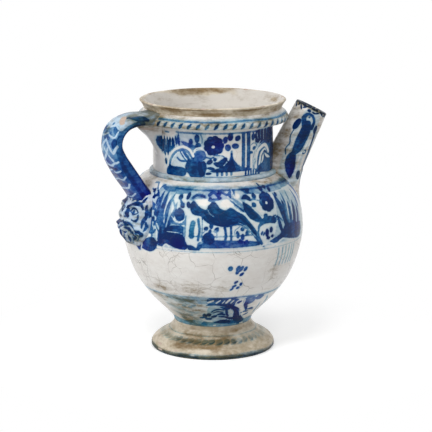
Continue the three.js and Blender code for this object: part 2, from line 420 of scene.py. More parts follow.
class Painting:
    """Brushwork on a flat map of a surface, in mm.

    Each layer holds the signed distance from every point to the nearest edge of its paint,
    negative inside the paint, and the strength of the paint there. Distances stay exact
    between the points of a grid, so a thin line keeps its edge. A shape whose layer is None
    takes the paint of every layer off, down to the white glaze.

    Motifs are drawn in a frame that stands at x and is mirrored where flip is negative; a
    flip other than 1 or -1 also stretches it.
    """

    FAR = 6.0
    EVEN_LOAD = 0.5
    SOAK = 0.9

    def __init__(self, across: Array, up: Array, girth: float = 0.0) -> None:
        """Starts a bare surface.

        Args:
            across: each point's place round the surface.
            up: each point's height.
            girth: length all round, after which across starts again, or 0 where it doesn't.
        """
        self.across, self.up, self.girth = across, up, girth
        self.x, self.flip = 0.0, 1.0
        self.gap = {layer: np.full(len(across), self.FAR) for layer in Layer}
        self.load = {layer: np.full(len(across), self.EVEN_LOAD) for layer in Layer}
        self.patch = {patch: np.zeros(len(across)) for patch in Patch}

    def moved(self, x: float, flip: float = 1.0) -> "Painting":
        """The same surface with its frame at another place."""
        brush = copy.copy(self)
        brush.x, brush.flip = x, flip
        return brush

    def sides(self, stretch: float = 1.0) -> tuple["Painting", "Painting"]:
        """The surface with its frame in front and, mirrored, behind."""
        return self.moved(0.0, stretch), self.moved(self.girth / 2, -stretch)

    def at(self, numbers: tuple) -> Outline:
        """Places of the frame, given as x, y, x, y and so on, on the surface."""
        return [(self.x + self.flip * a, b) for a, b in zip(numbers[::2], numbers[1::2])]

    def sideways(self, x: float) -> Array:
        """Each point's distance across from x, the short way round."""
        dx = self.across - x
        return (dx + self.girth / 2) % self.girth - self.girth / 2 if self.girth else dx

    def near(self, x: float, y: float, reach: float) -> tuple[Array, Array]:
        """Points within reach of a place: their numbers, and their places relative to it."""
        dx, dy = self.sideways(x), self.up - y
        chosen = np.flatnonzero((np.abs(dx) < reach) & (np.abs(dy) < reach))
        return chosen, np.stack((dx[chosen], dy[chosen]), axis=1)

    def put(self, layer: Coat, chosen: Array, gap: Array, load: float) -> None:
        """Lays a shape: the nearer edge wins, and the new paint sets the strength.

        Args:
            layer: the layer it is laid on.
            chosen: numbers of the points near it.
            gap: their signed distances to its edge.
            load: how strong its paint is.
        """
        if layer is None:
            for paint in self.gap.values():
                paint[chosen] = np.maximum(paint[chosen], -gap)
        else:
            self.gap[layer][chosen] = np.minimum(self.gap[layer][chosen], gap)
            self.load[layer][chosen[gap < self.SOAK]] = load

    def strokes(self, layer: Coat, load: float, *runs: tuple) -> None:
        """Strokes along smooth curves, each (width, x, y, x, y, ...).

        A width is one number, or several spread evenly from start to end. The gap is the
        least distance to a segment of the curve, less the half width there.
        """
        for width, *numbers in runs:
            points = self.at(numbers)
            line = curve_through(points, 6 * len(points)) if len(points) > 2 else np.linspace(*points, 7)
            widths = np.atleast_1d(np.asarray(width, float))
            half = np.interp(np.linspace(0, 1, len(line)), np.linspace(0, 1, len(widths)), widths) / 2
            middle = (line.min(0) + line.max(0)) / 2
            chosen, at = self.near(*middle, np.ptp(line, axis=0).max() / 2 + half.max() + self.FAR)
            distance, share = to_segments(at, line - middle)
            gap = distance - (half[:-1] + share * np.diff(half))
            self.put(layer, chosen, gap.min(axis=1), load)

    def lift(self, *runs: tuple) -> None:
        """Strokes that take the paint off, as white lines."""
        self.strokes(None, 0, *runs)

    def leaves(self, layer: Coat, load: float, *runs: tuple) -> None:
        """Strokes that start thin, swell and end in a point, each (width, x, y, x, y, ...)."""
        for width, *numbers in runs:
            swell = tuple(share * width for share in (0.18, 0.75, 1, 0.8, 0.1))
            self.strokes(layer, load, (swell, *numbers))

    def dabs(self, layer: Coat, load: float, *touches: tuple) -> None:
        """Touches of the brush, each (x, y, width, height), with a turn to the left if it has one."""
        for x, y, w, h, *turn in touches:
            turned_by = math.copysign(sum(turn), self.flip * sum(turn))
            self.touch(layer, load, self.x + self.flip * x, y, abs(self.flip) * w, h, turned_by)

    def touch(self, layer: Coat, load: float, x: float, y: float, w: float, h: float,
              turn: float = 0) -> None:
        """An ellipse on the surface, w wide and h high, turned left by turn degrees.

        With q the place divided by the half axes, the gap is about |q| (|q| - 1) / |q / axes|.
        """
        chosen, at = self.near(x, y, max(w, h) / 2 + self.FAR)
        c, s = math.cos(math.radians(turn)), math.sin(math.radians(turn))
        own = np.stack((at[:, 0] * c + at[:, 1] * s, at[:, 1] * c - at[:, 0] * s), axis=1)
        axes = np.array((w, h)) / 2
        k0 = np.linalg.norm(own / axes, axis=1)
        k1 = np.maximum(np.linalg.norm(own / axes ** 2, axis=1), 1e-6)
        self.put(layer, chosen, k0 * (k0 - 1) / k1, load)

    def rosette(self, x: float, y: float, r: float, petals: int = 9, load: float = 0.92) -> None:
        """A flower: a disc whose edge swells and pinches once for each petal, with a white eye."""
        x = self.x + self.flip * x
        chosen, at = self.near(x, y, r + self.FAR)
        angle = np.arctan2(at[:, 1], at[:, 0])
        edge = r * (0.86 + 0.14 * np.sqrt(np.abs(np.cos(petals / 2 * angle))))
        self.put(BLUE, chosen, np.hypot(at[:, 0], at[:, 1]) - edge, load)
        self.touch(None, 0, x - 0.08 * r, y - 0.1 * r, 0.36 * r, 0.3 * r)

    def fill(self, layer: Coat, load: float, *numbers: float, smooth: bool = True) -> None:
        """A closed area of paint, whose outline passes through places x, y, x, y and so on.

        The gap is the least distance to the outline, negative where a ray to the right
        crosses it an odd number of times.
        """
        ring = self.at(numbers + numbers[:2])
        line = curve_through(ring, 7 * len(ring)) if smooth else np.asarray(ring, float)
        middle = (line.min(0) + line.max(0)) / 2
        chosen, at = self.near(*middle, np.ptp(line, axis=0).max() / 2 + self.FAR)
        line = line - middle
        distance = to_segments(at, line)[0].min(axis=1)
        above = line[:, 1] > at[:, 1:]
        along = np.diff(line, axis=0)
        rise = np.where(np.abs(along[:, 1]) < TINY, TINY, along[:, 1])
        right = at[:, :1] - line[:-1, 0] < (at[:, 1:] - line[:-1, 1]) * along[:, 0] / rise
        inside = ((above[:, :-1] != above[:, 1:]) & right).sum(axis=1) % 2 == 1
        self.put(layer, chosen, np.where(inside, -distance, distance), load)

    def band(self, layer: Coat, low: float, high: float, load: float = 0.5, waver: float = 0.25) -> None:
        """A stripe all round between two heights, whose edges waver a little."""
        angle = self.across * (math.tau / self.girth if self.girth else 0.1)
        drift = waver * ripple(angle, self.up, int(10 * abs(low)) + 7, 5, 9)
        gap = np.abs(self.up + drift - (low + high) / 2) - (high - low) / 2
        self.put(layer, np.arange(len(self.up)), gap, load)

    def smudge(self, patch: Patch, x: float, y: float, w: float, h: float, amount: float) -> None:
        """A soft patch that fades from its middle, as exp of minus the squared distance."""
        dx = self.sideways(self.x + self.flip * x)
        self.patch[patch] += amount * np.exp(-(dx / w) ** 2 - ((self.up - y) / h) ** 2)

    def violet(self, x: float, y: float, w: float, h: float, amount: float = 1.0) -> None:
        """A place where the blue leans to violet, or to green for a negative amount."""
        self.smudge(VIOLET, x, y, w, h, amount)

    def stains(self, *places: tuple) -> None:
        """Brown stains, each (x, y, width, height, amount)."""
        for place in places:
            self.smudge(STAIN, *place)

    def chips(self, *places: tuple) -> None:
        """Places where the glaze is off, each (x, y, width, height)."""
        for place in places:
            self.smudge(WEAR, *place, 1.15)


def drum(points: Array, radius: float) -> Painting:
    """A bare painting of points round the jar, laid flat as a drum of the given radius."""
    angle = (np.arctan2(points[:, 1], points[:, 0]) + 1.5 * math.pi) % math.tau - math.pi
    return Painting(angle * radius, points[:, 2], math.tau * radius)


def srgb(red: float, green: float, blue: float) -> tuple[float, float, float, float]:
    """A colour as seen, 0 to 255, as the linear RGBA that a shader takes."""
    c = np.array((red, green, blue)) / 255
    linear = np.where(c <= 0.04045, c / 12.92, ((c + 0.055) / 1.055) ** 2.4)
    return (*linear.tolist(), 1.0)


@dataclass(frozen=True)
class Signal:
    """A number or a colour on its way through a material, which sums can be written with."""

    board: "NodeBoard"
    socket: bpy.types.NodeSocket

    def __add__(self, other: "Source") -> "Signal":
        """The sum."""
        return self.board.math("ADD", self, other)

    def __sub__(self, other: "Source") -> "Signal":
        """The difference."""
        return self.board.math("SUBTRACT", self, other)

    def __mul__(self, other: "Source") -> "Signal":
        """The product."""
        return self.board.math("MULTIPLY", self, other)

    def clamped(self) -> "Signal":
        """The same sum, held between 0 and 1."""
        self.socket.node.use_clamp = True
        return self

    def centred(self, size: float) -> "Signal":
        """Noise moved to lie about 0 and scaled."""
        return (self - 0.5) * size

    def step(self, start: float, end: float, low: float = 0.0, high: float = 1.0) -> "Signal":
        """A smooth step from low at start to high at end."""
        inputs = {"Value": self, "From Min": start, "From Max": end, "To Min": low, "To Max": high}
        return self.board.out("ShaderNodeMapRange", inputs, "Result", interpolation_type="SMOOTHSTEP")


Source = Signal | bpy.types.NodeSocket | float | tuple


class NodeBoard:
    """A short way to lay out shader nodes."""

    def __init__(self, material: bpy.types.Material) -> None:
        """Clears the material's nodes and adds a place input in object coordinates."""
        material.use_nodes = True
        self.tree = material.node_tree
        self.tree.nodes.clear()
        self.place = self.tree.nodes.new("ShaderNodeTexCoord").outputs["Object"]

    def add(self, kind: str, inputs: dict | None = None, **settings: object) -> bpy.types.Node:
        """A node with its settings and its inputs, each a value or another node's output."""
        node = self.tree.nodes.new(kind)
        for name, value in settings.items():
            setattr(node, name, value)
        for name, value in (inputs or {}).items():
            value = value.socket if isinstance(value, Signal) else value
            if isinstance(value, bpy.types.NodeSocket):
                self.tree.links.new(value, node.inputs[name])
            else:
                node.inputs[name].default_value = value
        return node

    def out(self, kind: str, inputs: dict, output: str | int = 0, **settings: object) -> Signal:
        """The output of a new node."""
        return Signal(self, self.add(kind, inputs, **settings).outputs[output])

    def math(self, operation: str, a: Source, b: Source) -> Signal:
        """The result of a sum on two numbers."""
        return self.out("ShaderNodeMath", {0: a, 1: b}, operation=operation)

    def attribute(self, name: str) -> Signal:
        """A number stored on the surface."""
        return self.out("ShaderNodeAttribute", {}, "Fac", attribute_name=name)

    def noise(self, scale: float, detail: float = 2.0, rough: float = 0.5, flat: float = 1.0) -> Signal:
        """Smooth noise from 0 to 1, in lumps a metre; flat above 1 draws the lumps out sideways."""
        place = self.place
        if flat != 1.0:
            place = self.out("ShaderNodeMapping", {"Vector": self.place, "Scale": (1, 1, flat)})
        inputs = {"Vector": place, "Scale": scale, "Detail": detail, "Roughness": rough}
        return self.out("ShaderNodeTexNoise", inputs, "Fac")

    def mix(self, share: Source, a: Source, b: Source, blend: str = "MIX") -> Signal:
        """Two colours blended by a share."""
        return self.out("ShaderNodeMix", {0: share, 6: a, 7: b}, 2, data_type="RGBA", blend_type=blend)

    def ramp(self, value: Signal, stops: list[tuple[float, tuple]]) -> Signal:
        """Colours along a scale from 0 to 1."""
        colour = self.out("ShaderNodeValToRGB", {"Fac": value}, "Color")
        scale = colour.socket.node.color_ramp
        scale.elements[0].position, scale.elements[0].color = stops[0]
        scale.elements[1].position, scale.elements[1].color = stops[-1]
        for place, stop in stops[1:-1]:
            scale.elements.new(place).color = stop
        return colour


# The greyish white of sound glaze; inside the mouth it also stands for painted shade.
SOUND_WHITE_AND_INNER_SHADE = srgb(203, 198, 191)
DEEP_CLAY = srgb(166, 142, 126)
CRAZE_BROWN = srgb(96, 80, 66)
COBALT = [
    (0.0, srgb(255, 255, 255)), (0.1, srgb(226, 241, 250)), (0.25, srgb(170, 203, 226)),
    (0.4, srgb(112, 160, 200)), (0.55, srgb(60, 120, 178)), (0.7, srgb(24, 88, 156)),
    (0.85, srgb(6, 64, 132)), (1.0, srgb(4, 48, 108)),
]


@dataclass(frozen=True)
class Glaze:
    """Tin glaze with cobalt brushwork, crazing, staining and worn places.

    Attributes:
        name: the material's name.
        ground: colour of the unpainted glaze.
        shadow: its colour where it lies thin.
        grime: colour of its stains.
        clay: colour of the bare clay where it is worn off.
        roughness: of the sound glaze.
        mottle: how much thin and thick glaze differ, 0 to 1.
        spread: how far the paint has run past each edge in the firing, in mm.
    """

    name: str
    ground: tuple = srgb(224, 222, 218)
    shadow: tuple = srgb(206, 200, 194)
    grime: tuple = srgb(150, 132, 100)
    clay: tuple = srgb(206, 190, 178)
    roughness: float = 0.17
    mottle: float = 0.5
    spread: float = 0.05

    def build(self) -> bpy.types.Material:
        """Makes the material: ground, brushwork, stains, crazing, wear, then the shader."""
        material = bpy.data.materials.new(self.name)
        board = NodeBoard(material)
        thin = board.noise(46, 4, 0.6, 2.0) + board.noise(210, 3, 0.6, 2.4).centred(0.4)
        ground = board.mix(thin.step(0.32, 0.7) * self.mottle, self.ground, self.shadow)
        # Sound glaze white; inside the mouth it also serves as painted shade.
        sound = board.attribute("sound") + board.noise(120, 4).centred(0.7)
        ground = board.mix(sound.step(0.35, 0.75), ground, SOUND_WHITE_AND_INNER_SHADE)
        blue = board.ramp(self.density(board), COBALT)
        tint = board.noise(30, 2).centred(0.07) + 0.5 + board.attribute("violet") * 0.02
        blue = board.out("ShaderNodeHueSaturation", {"Hue": tint, "Color": blue}, "Color")
        colour = board.mix(1.0, ground, blue, "MULTIPLY")
        stained = self.stains(board)
        colour = board.mix(stained, colour, board.mix(1.0, colour, self.grime, "MULTIPLY"))
        line = self.crazing(board)
        colour = board.mix(line * 0.62, colour, CRAZE_BROWN)
        worn = self.wear(board)
        clay = board.mix(board.noise(420, 4, 0.7), self.clay, DEEP_CLAY)
        colour = board.mix(worn, colour, clay)
        rough = (board.noise(120, 3) * 0.12 + self.roughness + stained * 0.18 + worn * 0.5).clamped()
        height = board.noise(75, 2) * 0.8 + board.noise(520, 3, 0.6) * 0.16
        height = height - line * 0.25 - worn * board.noise(900, 4, 0.7)
        bump = {"Strength": 0.55, "Distance": 0.0006, "Height": height}
        shader = board.out("ShaderNodeBsdfPrincipled", {
            "Base Color": colour, "Roughness": rough, "Normal": board.out("ShaderNodeBump", bump),
            "Specular IOR Level": 0.12,
        })
        board.add("ShaderNodeOutputMaterial", {"Surface": shader})
        return material

    def density(self, board: NodeBoard) -> Signal:
        """Strength of the cobalt, 0 to 1: each layer's paint inside its ragged edge, added up."""
        ragged = board.noise(640, 3, 0.6).centred(1.0)
        streaks, pools = board.noise(260, 4, 0.65, 2.0), board.noise(95, 3)
        tone = streaks.step(0.36, 0.64).centred(0.34) + pools.step(0.36, 0.64).centred(0.36)
        total = None
        for layer, soft, waver, uneven, strength in (
            (WASH, 0.8, 1.4, 1.0, 1.0), (BLUE, 0.36, 0.75, 0.75, 0.95), (INK, 0.4, 0.5, 0.5, 0.56),
        ):
            gap = board.attribute(layer.value) + ragged * waver - self.spread
            inside = gap.step(soft, -soft)
            load = board.attribute(layer.value + "_load") * (tone * uneven + 1.0) * strength
            part = inside * load
            if layer is BLUE:
                part = board.math("MAXIMUM", part, gap.step(1.5, -0.2, 0.0, 0.16) * load)
            total = (total + part).clamped() if total else part
        return total

    def stains(self, board: NodeBoard) -> Signal:
        """Share of staining: the stored amount, broken up by noise."""
        grain = board.noise(75, 5, 0.65, 3.0).centred(2.4) + board.noise(480, 3).centred(0.6)
        amount = (grain + board.attribute("stain")).step(0.1, 1.15)
        return (amount * board.attribute("stain").step(0.0, 0.35)).clamped()

    def crazing(self, board: NodeBoard) -> Signal:
        """Share of dark craze line: the borders of uneven cells, where crazing is stored."""
        lumps = {"Vector": board.place, "Scale": 60.0, "Detail": 2.0}
        shift = board.out("ShaderNodeTexNoise", lumps, "Color")
        drift = board.out("ShaderNodeVectorMath", {0: shift, 1: (0.012, 0.012, 0.012)}, operation="MULTIPLY")
        place = board.out("ShaderNodeVectorMath", {0: board.place, 1: drift}, operation="ADD")
        lines = None
        for scale, half in ((62.0, 0.0075), (150.0, 0.009)):
            cells = {"Vector": place, "Scale": scale}
            cells = board.out("ShaderNodeTexVoronoi", cells, "Distance", feature="DISTANCE_TO_EDGE")
            line = cells.step(half * 1.6, half * 0.5)
            if lines:
                line = board.math("MAXIMUM", lines, line * board.noise(34, 2).step(0.5, 0.62))
            lines = line
        faded = board.noise(55, 3).step(0.32, 0.6)
        return (lines * faded * board.attribute("craze")).clamped()

    def wear(self, board: NodeBoard) -> Signal:
        """Share of bare clay: the stored amount with a chipped edge."""
        return (board.attribute("wear") + board.noise(330, 4, 0.7).centred(0.7)).step(0.62, 0.72)


PAINTED = Glaze("painted_glaze")
WORN = Glaze(
    "worn_glaze", ground=srgb(212, 202, 184), shadow=srgb(164, 150, 126),
    grime=srgb(176, 158, 130), roughness=0.26, mottle=1.0,
)
DEEP = Glaze("blue_glaze", ground=srgb(206, 213, 222), shadow=srgb(176, 190, 208), mottle=0.7)


@dataclass
class Workshop:
    """Makes the finishes once and hands finished pieces to the frame."""

    finishes: dict[str, bpy.types.Material] = field(default_factory=dict)

    def finish(self, glaze: Glaze) -> bpy.types.Material:
        """The glaze's material, made when it is first asked for."""
        if glaze.name not in self.finishes:
            self.finishes[glaze.name] = glaze.build()
        return self.finishes[glaze.name]

    def hand_over(self, piece: Piece, node: str, glaze: Glaze, *coats: tuple[Array | slice, Painting],
                  stain: float = 0.0, wear: float = 0.0) -> None:
        """Paints and glazes a piece, and lets it stand for its CAD node.

        Args:
            piece: the fine piece.
            node: the CAD node that it replaces.
            glaze: its glaze, which names its material.
            coats: which of its points each painting covers, and the painting.
            stain: its even amount of staining.
            wear: its even amount of wear.
        """
        whole = Painting(*np.zeros((2, len(piece.data.vertices))))
        whole.patch[STAIN] += stain
        whole.patch[WEAR] += wear
        for chosen, painting in coats:
            for layer in Layer:
                whole.gap[layer][chosen] = painting.gap[layer]
                whole.load[layer][chosen] = painting.load[layer]
            for patch in Patch:
                whole.patch[patch][chosen] += painting.patch[patch]
        for layer in Layer:
            self.store(piece, layer.value, whole.gap[layer])
            self.store(piece, layer.value + "_load", whole.load[layer])
        for patch in Patch:
            self.store(piece, patch.value, whole.patch[patch])
        piece.data.materials.append(self.finish(glaze))
        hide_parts(node)
        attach(piece, BODY)
        log.info("%s: %d faces", piece.name, len(piece.data.polygons))

    def store(self, piece: Piece, name: str, numbers: Array) -> None:
        """Keeps one number for each point as an attribute of the piece's mesh."""
        attribute = piece.data.attributes.new(name, "FLOAT", "POINT")
        attribute.data.foreach_set("value", numbers.astype(np.float32))


@dataclass
class Foot:
    """The spreading foot, hollow underneath."""

    columns: int = 360
    base_chamfer: float = 1.0
    map_r: float = 40.0
    rope_pitch: float = 5.7
    smears: int = 40
    pale_touches: int = 26
    chips: int = 9
    skin: float = 1.4

    def build(self, shop: Workshop) -> None:
        """Turns the foot and dresses it in worn glaze."""
        hollow = curve_through(FOOT_HOLLOW, 26)
        outside = curve_through(FOOT_OUTLINE, 62)
        profile = route(hollow, 8, (FOOT_R - self.base_chamfer, 0), 3, outside, 8, (0, STEM_Z))
        piece = make_object("turned_foot", turned(profile, self.columns))
        points = points_of(piece)
        outside = np.hypot(points[:, 0], points[:, 1]) > jar_radius(points[:, 2]) - self.skin
        painting = drum(points[outside], self.map_r)
        self.paint(painting)
        shop.hand_over(piece, "foot", WORN, (outside, painting), stain=0.16, wear=0.1)

    def paint(self, p: Painting) -> None:
        """A grey line, a rope of brown dabs under it, stains, pale patches and a dark grey-blue band along
        the bottom edge.
        """
        p.band(BLUE, 15.1, 15.5, 0.26)
        p.stains((-20, 15.3, 40, 0.8, 0.4))
        draw = np.random.default_rng(SEED)
        for place in np.arange(0, p.girth, self.rope_pitch):
            x, z = place + draw.uniform(-0.5, 0.5), 12.2 + draw.uniform(-0.3, 0.3)
            kept = 0.65 + 0.35 * math.cos(2 * (x + 4) / self.map_r)
            load = kept * draw.uniform(0.16, 0.3)
            p.dabs(BLUE, load, (x, z, draw.uniform(4.8, 5.8), 2.5, draw.uniform(6, 16)))
            shade = (x - 3.2, z - 1.6, x, z - 1.2, x + 2.6, z - 0.2)
            p.strokes(INK, 0.4 * kept, ((0.5, 1, 0.4), *shade))
            p.stains((x, z - 0.2, 3.4, 1.3, kept * draw.uniform(0.5, 0.85)))
        # A dark grey-blue, stained band along the bottom edge.
        p.band(WASH, 0.0, 4.0, 0.26, 0.8)
        p.band(BLUE, 0.0, 2.2, 0.22, 0.8)
        p.patch[VIOLET] += 0.6 * (p.up < 5)
        p.patch[STAIN] += 0.8 * soft_step(p.up, 4.8, 1.6)
        ranges = (0, p.girth), (1, 21), (4, 14), (0.8, 2.6), (0.15, 0.5)
        p.stains(*([draw.uniform(*ends) for ends in ranges] for _ in range(self.smears)))
        for _ in range(self.pale_touches):
            place = [draw.uniform(*ends) for ends in ((0, p.girth), (3, 8), (2, 6), (0.8, 1.6))]
            p.dabs(None, 0, place)
            p.stains((*place, -0.9))
        for _ in range(self.chips):
            place = [draw.uniform(*ends) for ends in ((0, p.girth), (1, 7), (1.5, 4), (0.6, 1.4))]
            p.smudge(WEAR, *place, 0.9)
        p.stains((-14, 8, 20, 5, 0.5), (-30, 18, 16, 3, 0.2), (34, 9, 16, 8, -0.3))


@dataclass
class Vessel:
    """The belly and shoulder, with the hole into the spout."""

    columns: int = 452
    throat_end: tuple[float, float] = (43.6, 137.6)
    floor_r: float = 18.0
    label_z: float = 56.0
    upper_map_r: float = 70.0
    lower_map_r: float = 50.0

    def build(self, shop: Workshop) -> None:
        """Turns the wall, cuts the spout's hole, paints the bands and hands it over."""
        outer = curve_through(BODY_OUTLINE, 60)
        inner = outer + BODY_WALL * square_to(outer)
        inner = inner[(inner[:, 1] > FLOOR_Z + 3) & (inner[:, 1] < SHOULDER_Z - BODY_WALL)][::-1]
        inside = spaced(np.vstack((self.throat_end, inner, (self.floor_r, FLOOR_Z))), 22)
        profile = route((0, STEM_Z), 4, BODY_CURVE, 4, (MOUTH_R, SHOULDER_Z), 4, inside, 3, (0, FLOOR_Z))
        piece = make_object("thrown_body", turned(profile, self.columns))
        cut_with(piece, Spout().hole_form())
        points = points_of(piece)
        outside = np.hypot(points[:, 0], points[:, 1]) > wall_radius(*points.T) - SKIN
        high, low = outside & (points[:, 2] >= self.label_z), outside & (points[:, 2] < self.label_z)
        upper, lower = drum(points[high], self.upper_map_r), drum(points[low], self.lower_map_r)
        self.paint_upper(upper)
        self.paint_lower(lower)
        shop.hand_over(piece, "body", PAINTED, (high, upper), (low, lower), stain=0.1)

    def paint_upper(self, p: Painting) -> None:
        """The picture band between its border lines, and the bare label band below it.

        The front's scene is repeated behind, mirrored, with a smaller one beside the handle.
        """
        p.patch[CRAZE] += 0.25 + 0.75 * soft_step(p.up, 94, 90)
        p.band(WASH, 93.0, 136.0, 0.08)
        p.band(WASH, 134.6, 139.0, 0.36, 0.7)
        p.band(BLUE, 136.6, 137.8, 0.34, 0.5)
        p.patch[STAIN] += 0.14 * soft_step(p.up, 133, 138)
        scene = (self.ground, self.left_reeds, self.left_flower, self.pool, self.bird, self.pot_flowers,
                 self.sky, self.right_flowers, self.small_bird, self.right_reeds)
        for b in p.sides():
            for motif in scene:
                motif(b)
        self.left_reeds(p.moved(-92.0))
        self.right_flowers(p.moved(-172.0))
        self.small_bird(p.moved(-176.0))
        p.rosette(-142, 106, 6.5)
        p.band(None, 92.5, 93.4, 0.0, 0.3)
        p.band(BLUE, 91.4, 91.9, 0.3)
        self.by_the_mask(p)
        self.by_the_spout(p.moved(110.0))
        for b in p.sides(7 / 6):
            self.label(b)

    def ground(self, b: Painting) -> None:
        """Washes behind the scene, and the strip of ground under the bird."""
        b.fill(WASH, 0.2, -60, 96, -60, 137, -46, 136, -44, 118, -36, 110, -40, 94)
        b.fill(WASH, 0.18, 40, 96, 46, 112, 50, 130, 74, 128, 80, 114, 80, 94, 60, 95)
        b.fill(WASH, 0.2, -30, 131, -28, 137, 16, 137, 18, 130, 4, 131, -10, 132)
        b.fill(BLUE, 0.62, -22, 95, -21, 99, -14, 101, 0, 101, 13, 100, 22, 99, 28, 97, 28, 96, 14, 95,
            0, 95)
        b.violet(0, 97, 24, 4)
        b.strokes(BLUE, 0.4, (0.8, -28, 104, 0, 104, 22, 104))

    def left_reeds(self, b: Painting) -> None:
        """A fan of tall blades from one root."""
        b.fill(BLUE, 0.62, -55, 95, -54, 104, -51, 112, -47, 108, -45, 98, -50, 94)
        b.leaves(BLUE, 0.52, (4.6, -51, 106, -55, 114, -57, 124, -56, 136), (4.2, -50, 106, -52, 118,
            -52, 128, -51, 137), (3.4, -49, 106, -48, 116, -47, 126, -44, 134), (3.4, -47, 106, -44, 114,
            -41, 122, -40, 128))
        b.leaves(INK, 0.5, (2.6, -52, 96, -52, 104, -52, 112))
        b.lift((0.8, -49, 112, -50, 122, -48, 132), (0.8, -59, 130, -58, 118, -56, 108, -55, 98))
        b.strokes(BLUE, 0.36, (2.2, -60, 138, -54, 136, -46, 136), (1.4, -45, 130, -42, 126, -40, 120))

    def left_flower(self, b: Painting) -> None:
        """A stalk with a dark bulb, pale leaves and loose petals above it."""
        b.dabs(BLUE, 0.84, (-38, 132, 4.2, 3.6, 20), (-31, 133, 3, 5.4, -24), (-35, 126, 4.2, 3, -30),
            (-30, 127, 3.2, 4.8, 30), (-37, 123, 2.6, 3.2))
        b.leaves(BLUE, 0.6, (2, -38, 131, -36, 128, -33, 127))
        b.fill(BLUE, 0.78, -41, 120, -38, 124, -34, 123, -32, 120, -33, 116, -38, 115)
        b.leaves(BLUE, 0.4, (3, -45, 117, -42, 114, -36, 113), (2.6, -31, 117, -32, 114, -37, 112))
        b.lift((0.8, -43, 118, -39, 114, -34, 114))

    def pool(self, b: Painting) -> None:
        """The dark bank with the posts beside it, and the drop that hangs from the ground."""
        b.fill(BLUE, 0.8, -52, 95, -50, 103, -45, 110, -31, 110, -31, 101, -29, 96, -31, 93, -39, 94,
            -45, 96, -51, 94)
        b.fill(INK, 0.45, -43, 97, -41, 103, -33, 104, -32, 97, -35, 94)
        b.violet(-35, 98, 7, 6)
        b.lift((1.3, -50, 93, -47, 96, -44, 95), (0.7, -46, 106, -38, 106, -33, 105))
        b.strokes(BLUE, 0.6, (3.9, -26, 104, -26, 109, -25, 114), (1.8, -21, 101, -20, 108, -21, 117))
        b.strokes(BLUE, 0.36, (1, -31, 104, -31, 112, -31, 119), (0.8, -18, 100, -18, 118))
        b.violet(-25.4, 109, 4, 7, -0.8)
        b.fill(BLUE, 0.86, -30, 97, -28, 93, -24, 91, -20, 93, -19, 97, -22, 95, -26, 97)

    def bird(self, b: Painting) -> None:
        """The long-tailed bird: one dark body, lighter feathers at its back, two legs."""
        b.fill(BLUE, 0.86, -29, 127, -26, 130, -22, 127, -19, 125, -15, 124, -13, 128, -9.5, 130, -6.5, 128,
            -4, 125, 0, 123.5, 5, 125, 10, 122, 15, 119, 20, 113, 25, 106, 29, 98, 31, 93, 28, 96, 24, 100,
            21, 104, 16, 109, 10, 112, 0, 111, -5, 112, -12, 113.5, -16, 116, -19, 119, -24, 120, -27, 122)
        b.violet(-2, 118, 22, 8, -0.3)
        b.leaves(INK, 0.5, (2.6, -13, 117, -5, 113, 4, 114, 13, 114), (2.2, 8, 121, 17, 113, 26, 101),
            (2.4, -17, 122, -12, 118, -6, 117))
        b.strokes(INK, 0.4, (0.7, -12, 125, -9, 121, -3, 120), (0.7, -2, 122, 3, 119, 10, 118),
            (0.8, -27, 125, -24, 123, -21, 122))
        b.dabs(INK, 0.6, (-25, 127, 1.6, 1.6))
        b.lift((0.8, 14, 121, 20, 116, 26, 106), (0.6, 10, 114, 17, 110, 24, 102), (0.7, -14, 124, -12, 121,
            -9, 119))
        b.strokes(BLUE, 0.7, (1.9, -1, 112, 0, 105, -1, 99), (1.7, 4, 112, 4, 105, 4, 99))

    def pot_flowers(self, b: Painting) -> None:
        """Two small flowers on the ground under the bird."""
        b.dabs(BLUE, 0.85, (-13, 103, 8.8, 8.4), (-15, 110, 3.6, 3.2, 30), (-11, 112, 3, 4.4),
            (-7, 109, 3.4, 4.8, -30), (-12, 108, 2.6, 2.6))
        b.strokes(BLUE, 0.4, (0.7, -19, 103, -18, 106, -16, 108), (0.7, -7, 103, -7, 107, -10, 108))
        b.dabs(BLUE, 0.82, (9, 105, 3, 6, 10), (13, 109, 3.4, 3.2), (13, 103, 3, 5), (17, 106, 3.2, 5, -20),
            (11, 100, 2.4, 3.4, 20), (16, 99, 2.6, 3.6, -20))
        b.strokes(BLUE, 0.4, (0.7, 7, 104, 7, 108, 11, 111), (0.7, 19, 106, 17, 110, 14, 111))
        b.violet(14, 100, 5, 4)

    def sky(self, b: Painting) -> None:
        """Clouds left white, and loose lavender scribbles and leaves over the bird."""
        b.dabs(None, 0, (-17, 129, 11, 5), (2, 128, 11, 6), (11, 133, 6, 4), (-23, 131, 6, 3))
        b.strokes(BLUE, 0.46, (1.8, -27, 132, -23, 134, -17, 133), (2.4, -13, 134, -9, 136, -5, 133),
            (1.6, -10, 131, -6, 131, -3, 132), (1.8, -2, 136, 3, 134, 6, 136), (1.2, 5, 130, 9, 127,
            15, 122))
        b.dabs(BLUE, 0.56, (-12, 131, 3.6, 3, 20), (-4, 135, 3.2, 4.2, -20), (5, 134, 3, 4.6, 10),
            (9, 135, 2.4, 4))
        b.leaves(WASH, 0.36, (3.4, -28, 131, -22, 133, -16, 132), (4, 5, 131, 10, 128, 16, 122))
        b.violet(-4, 133.5, 16, 5, 1.3)
        b.lift((0.7, 7, 137, 11, 131, 17, 127), (0.7, 3, 133, 8, 129, 13, 125))

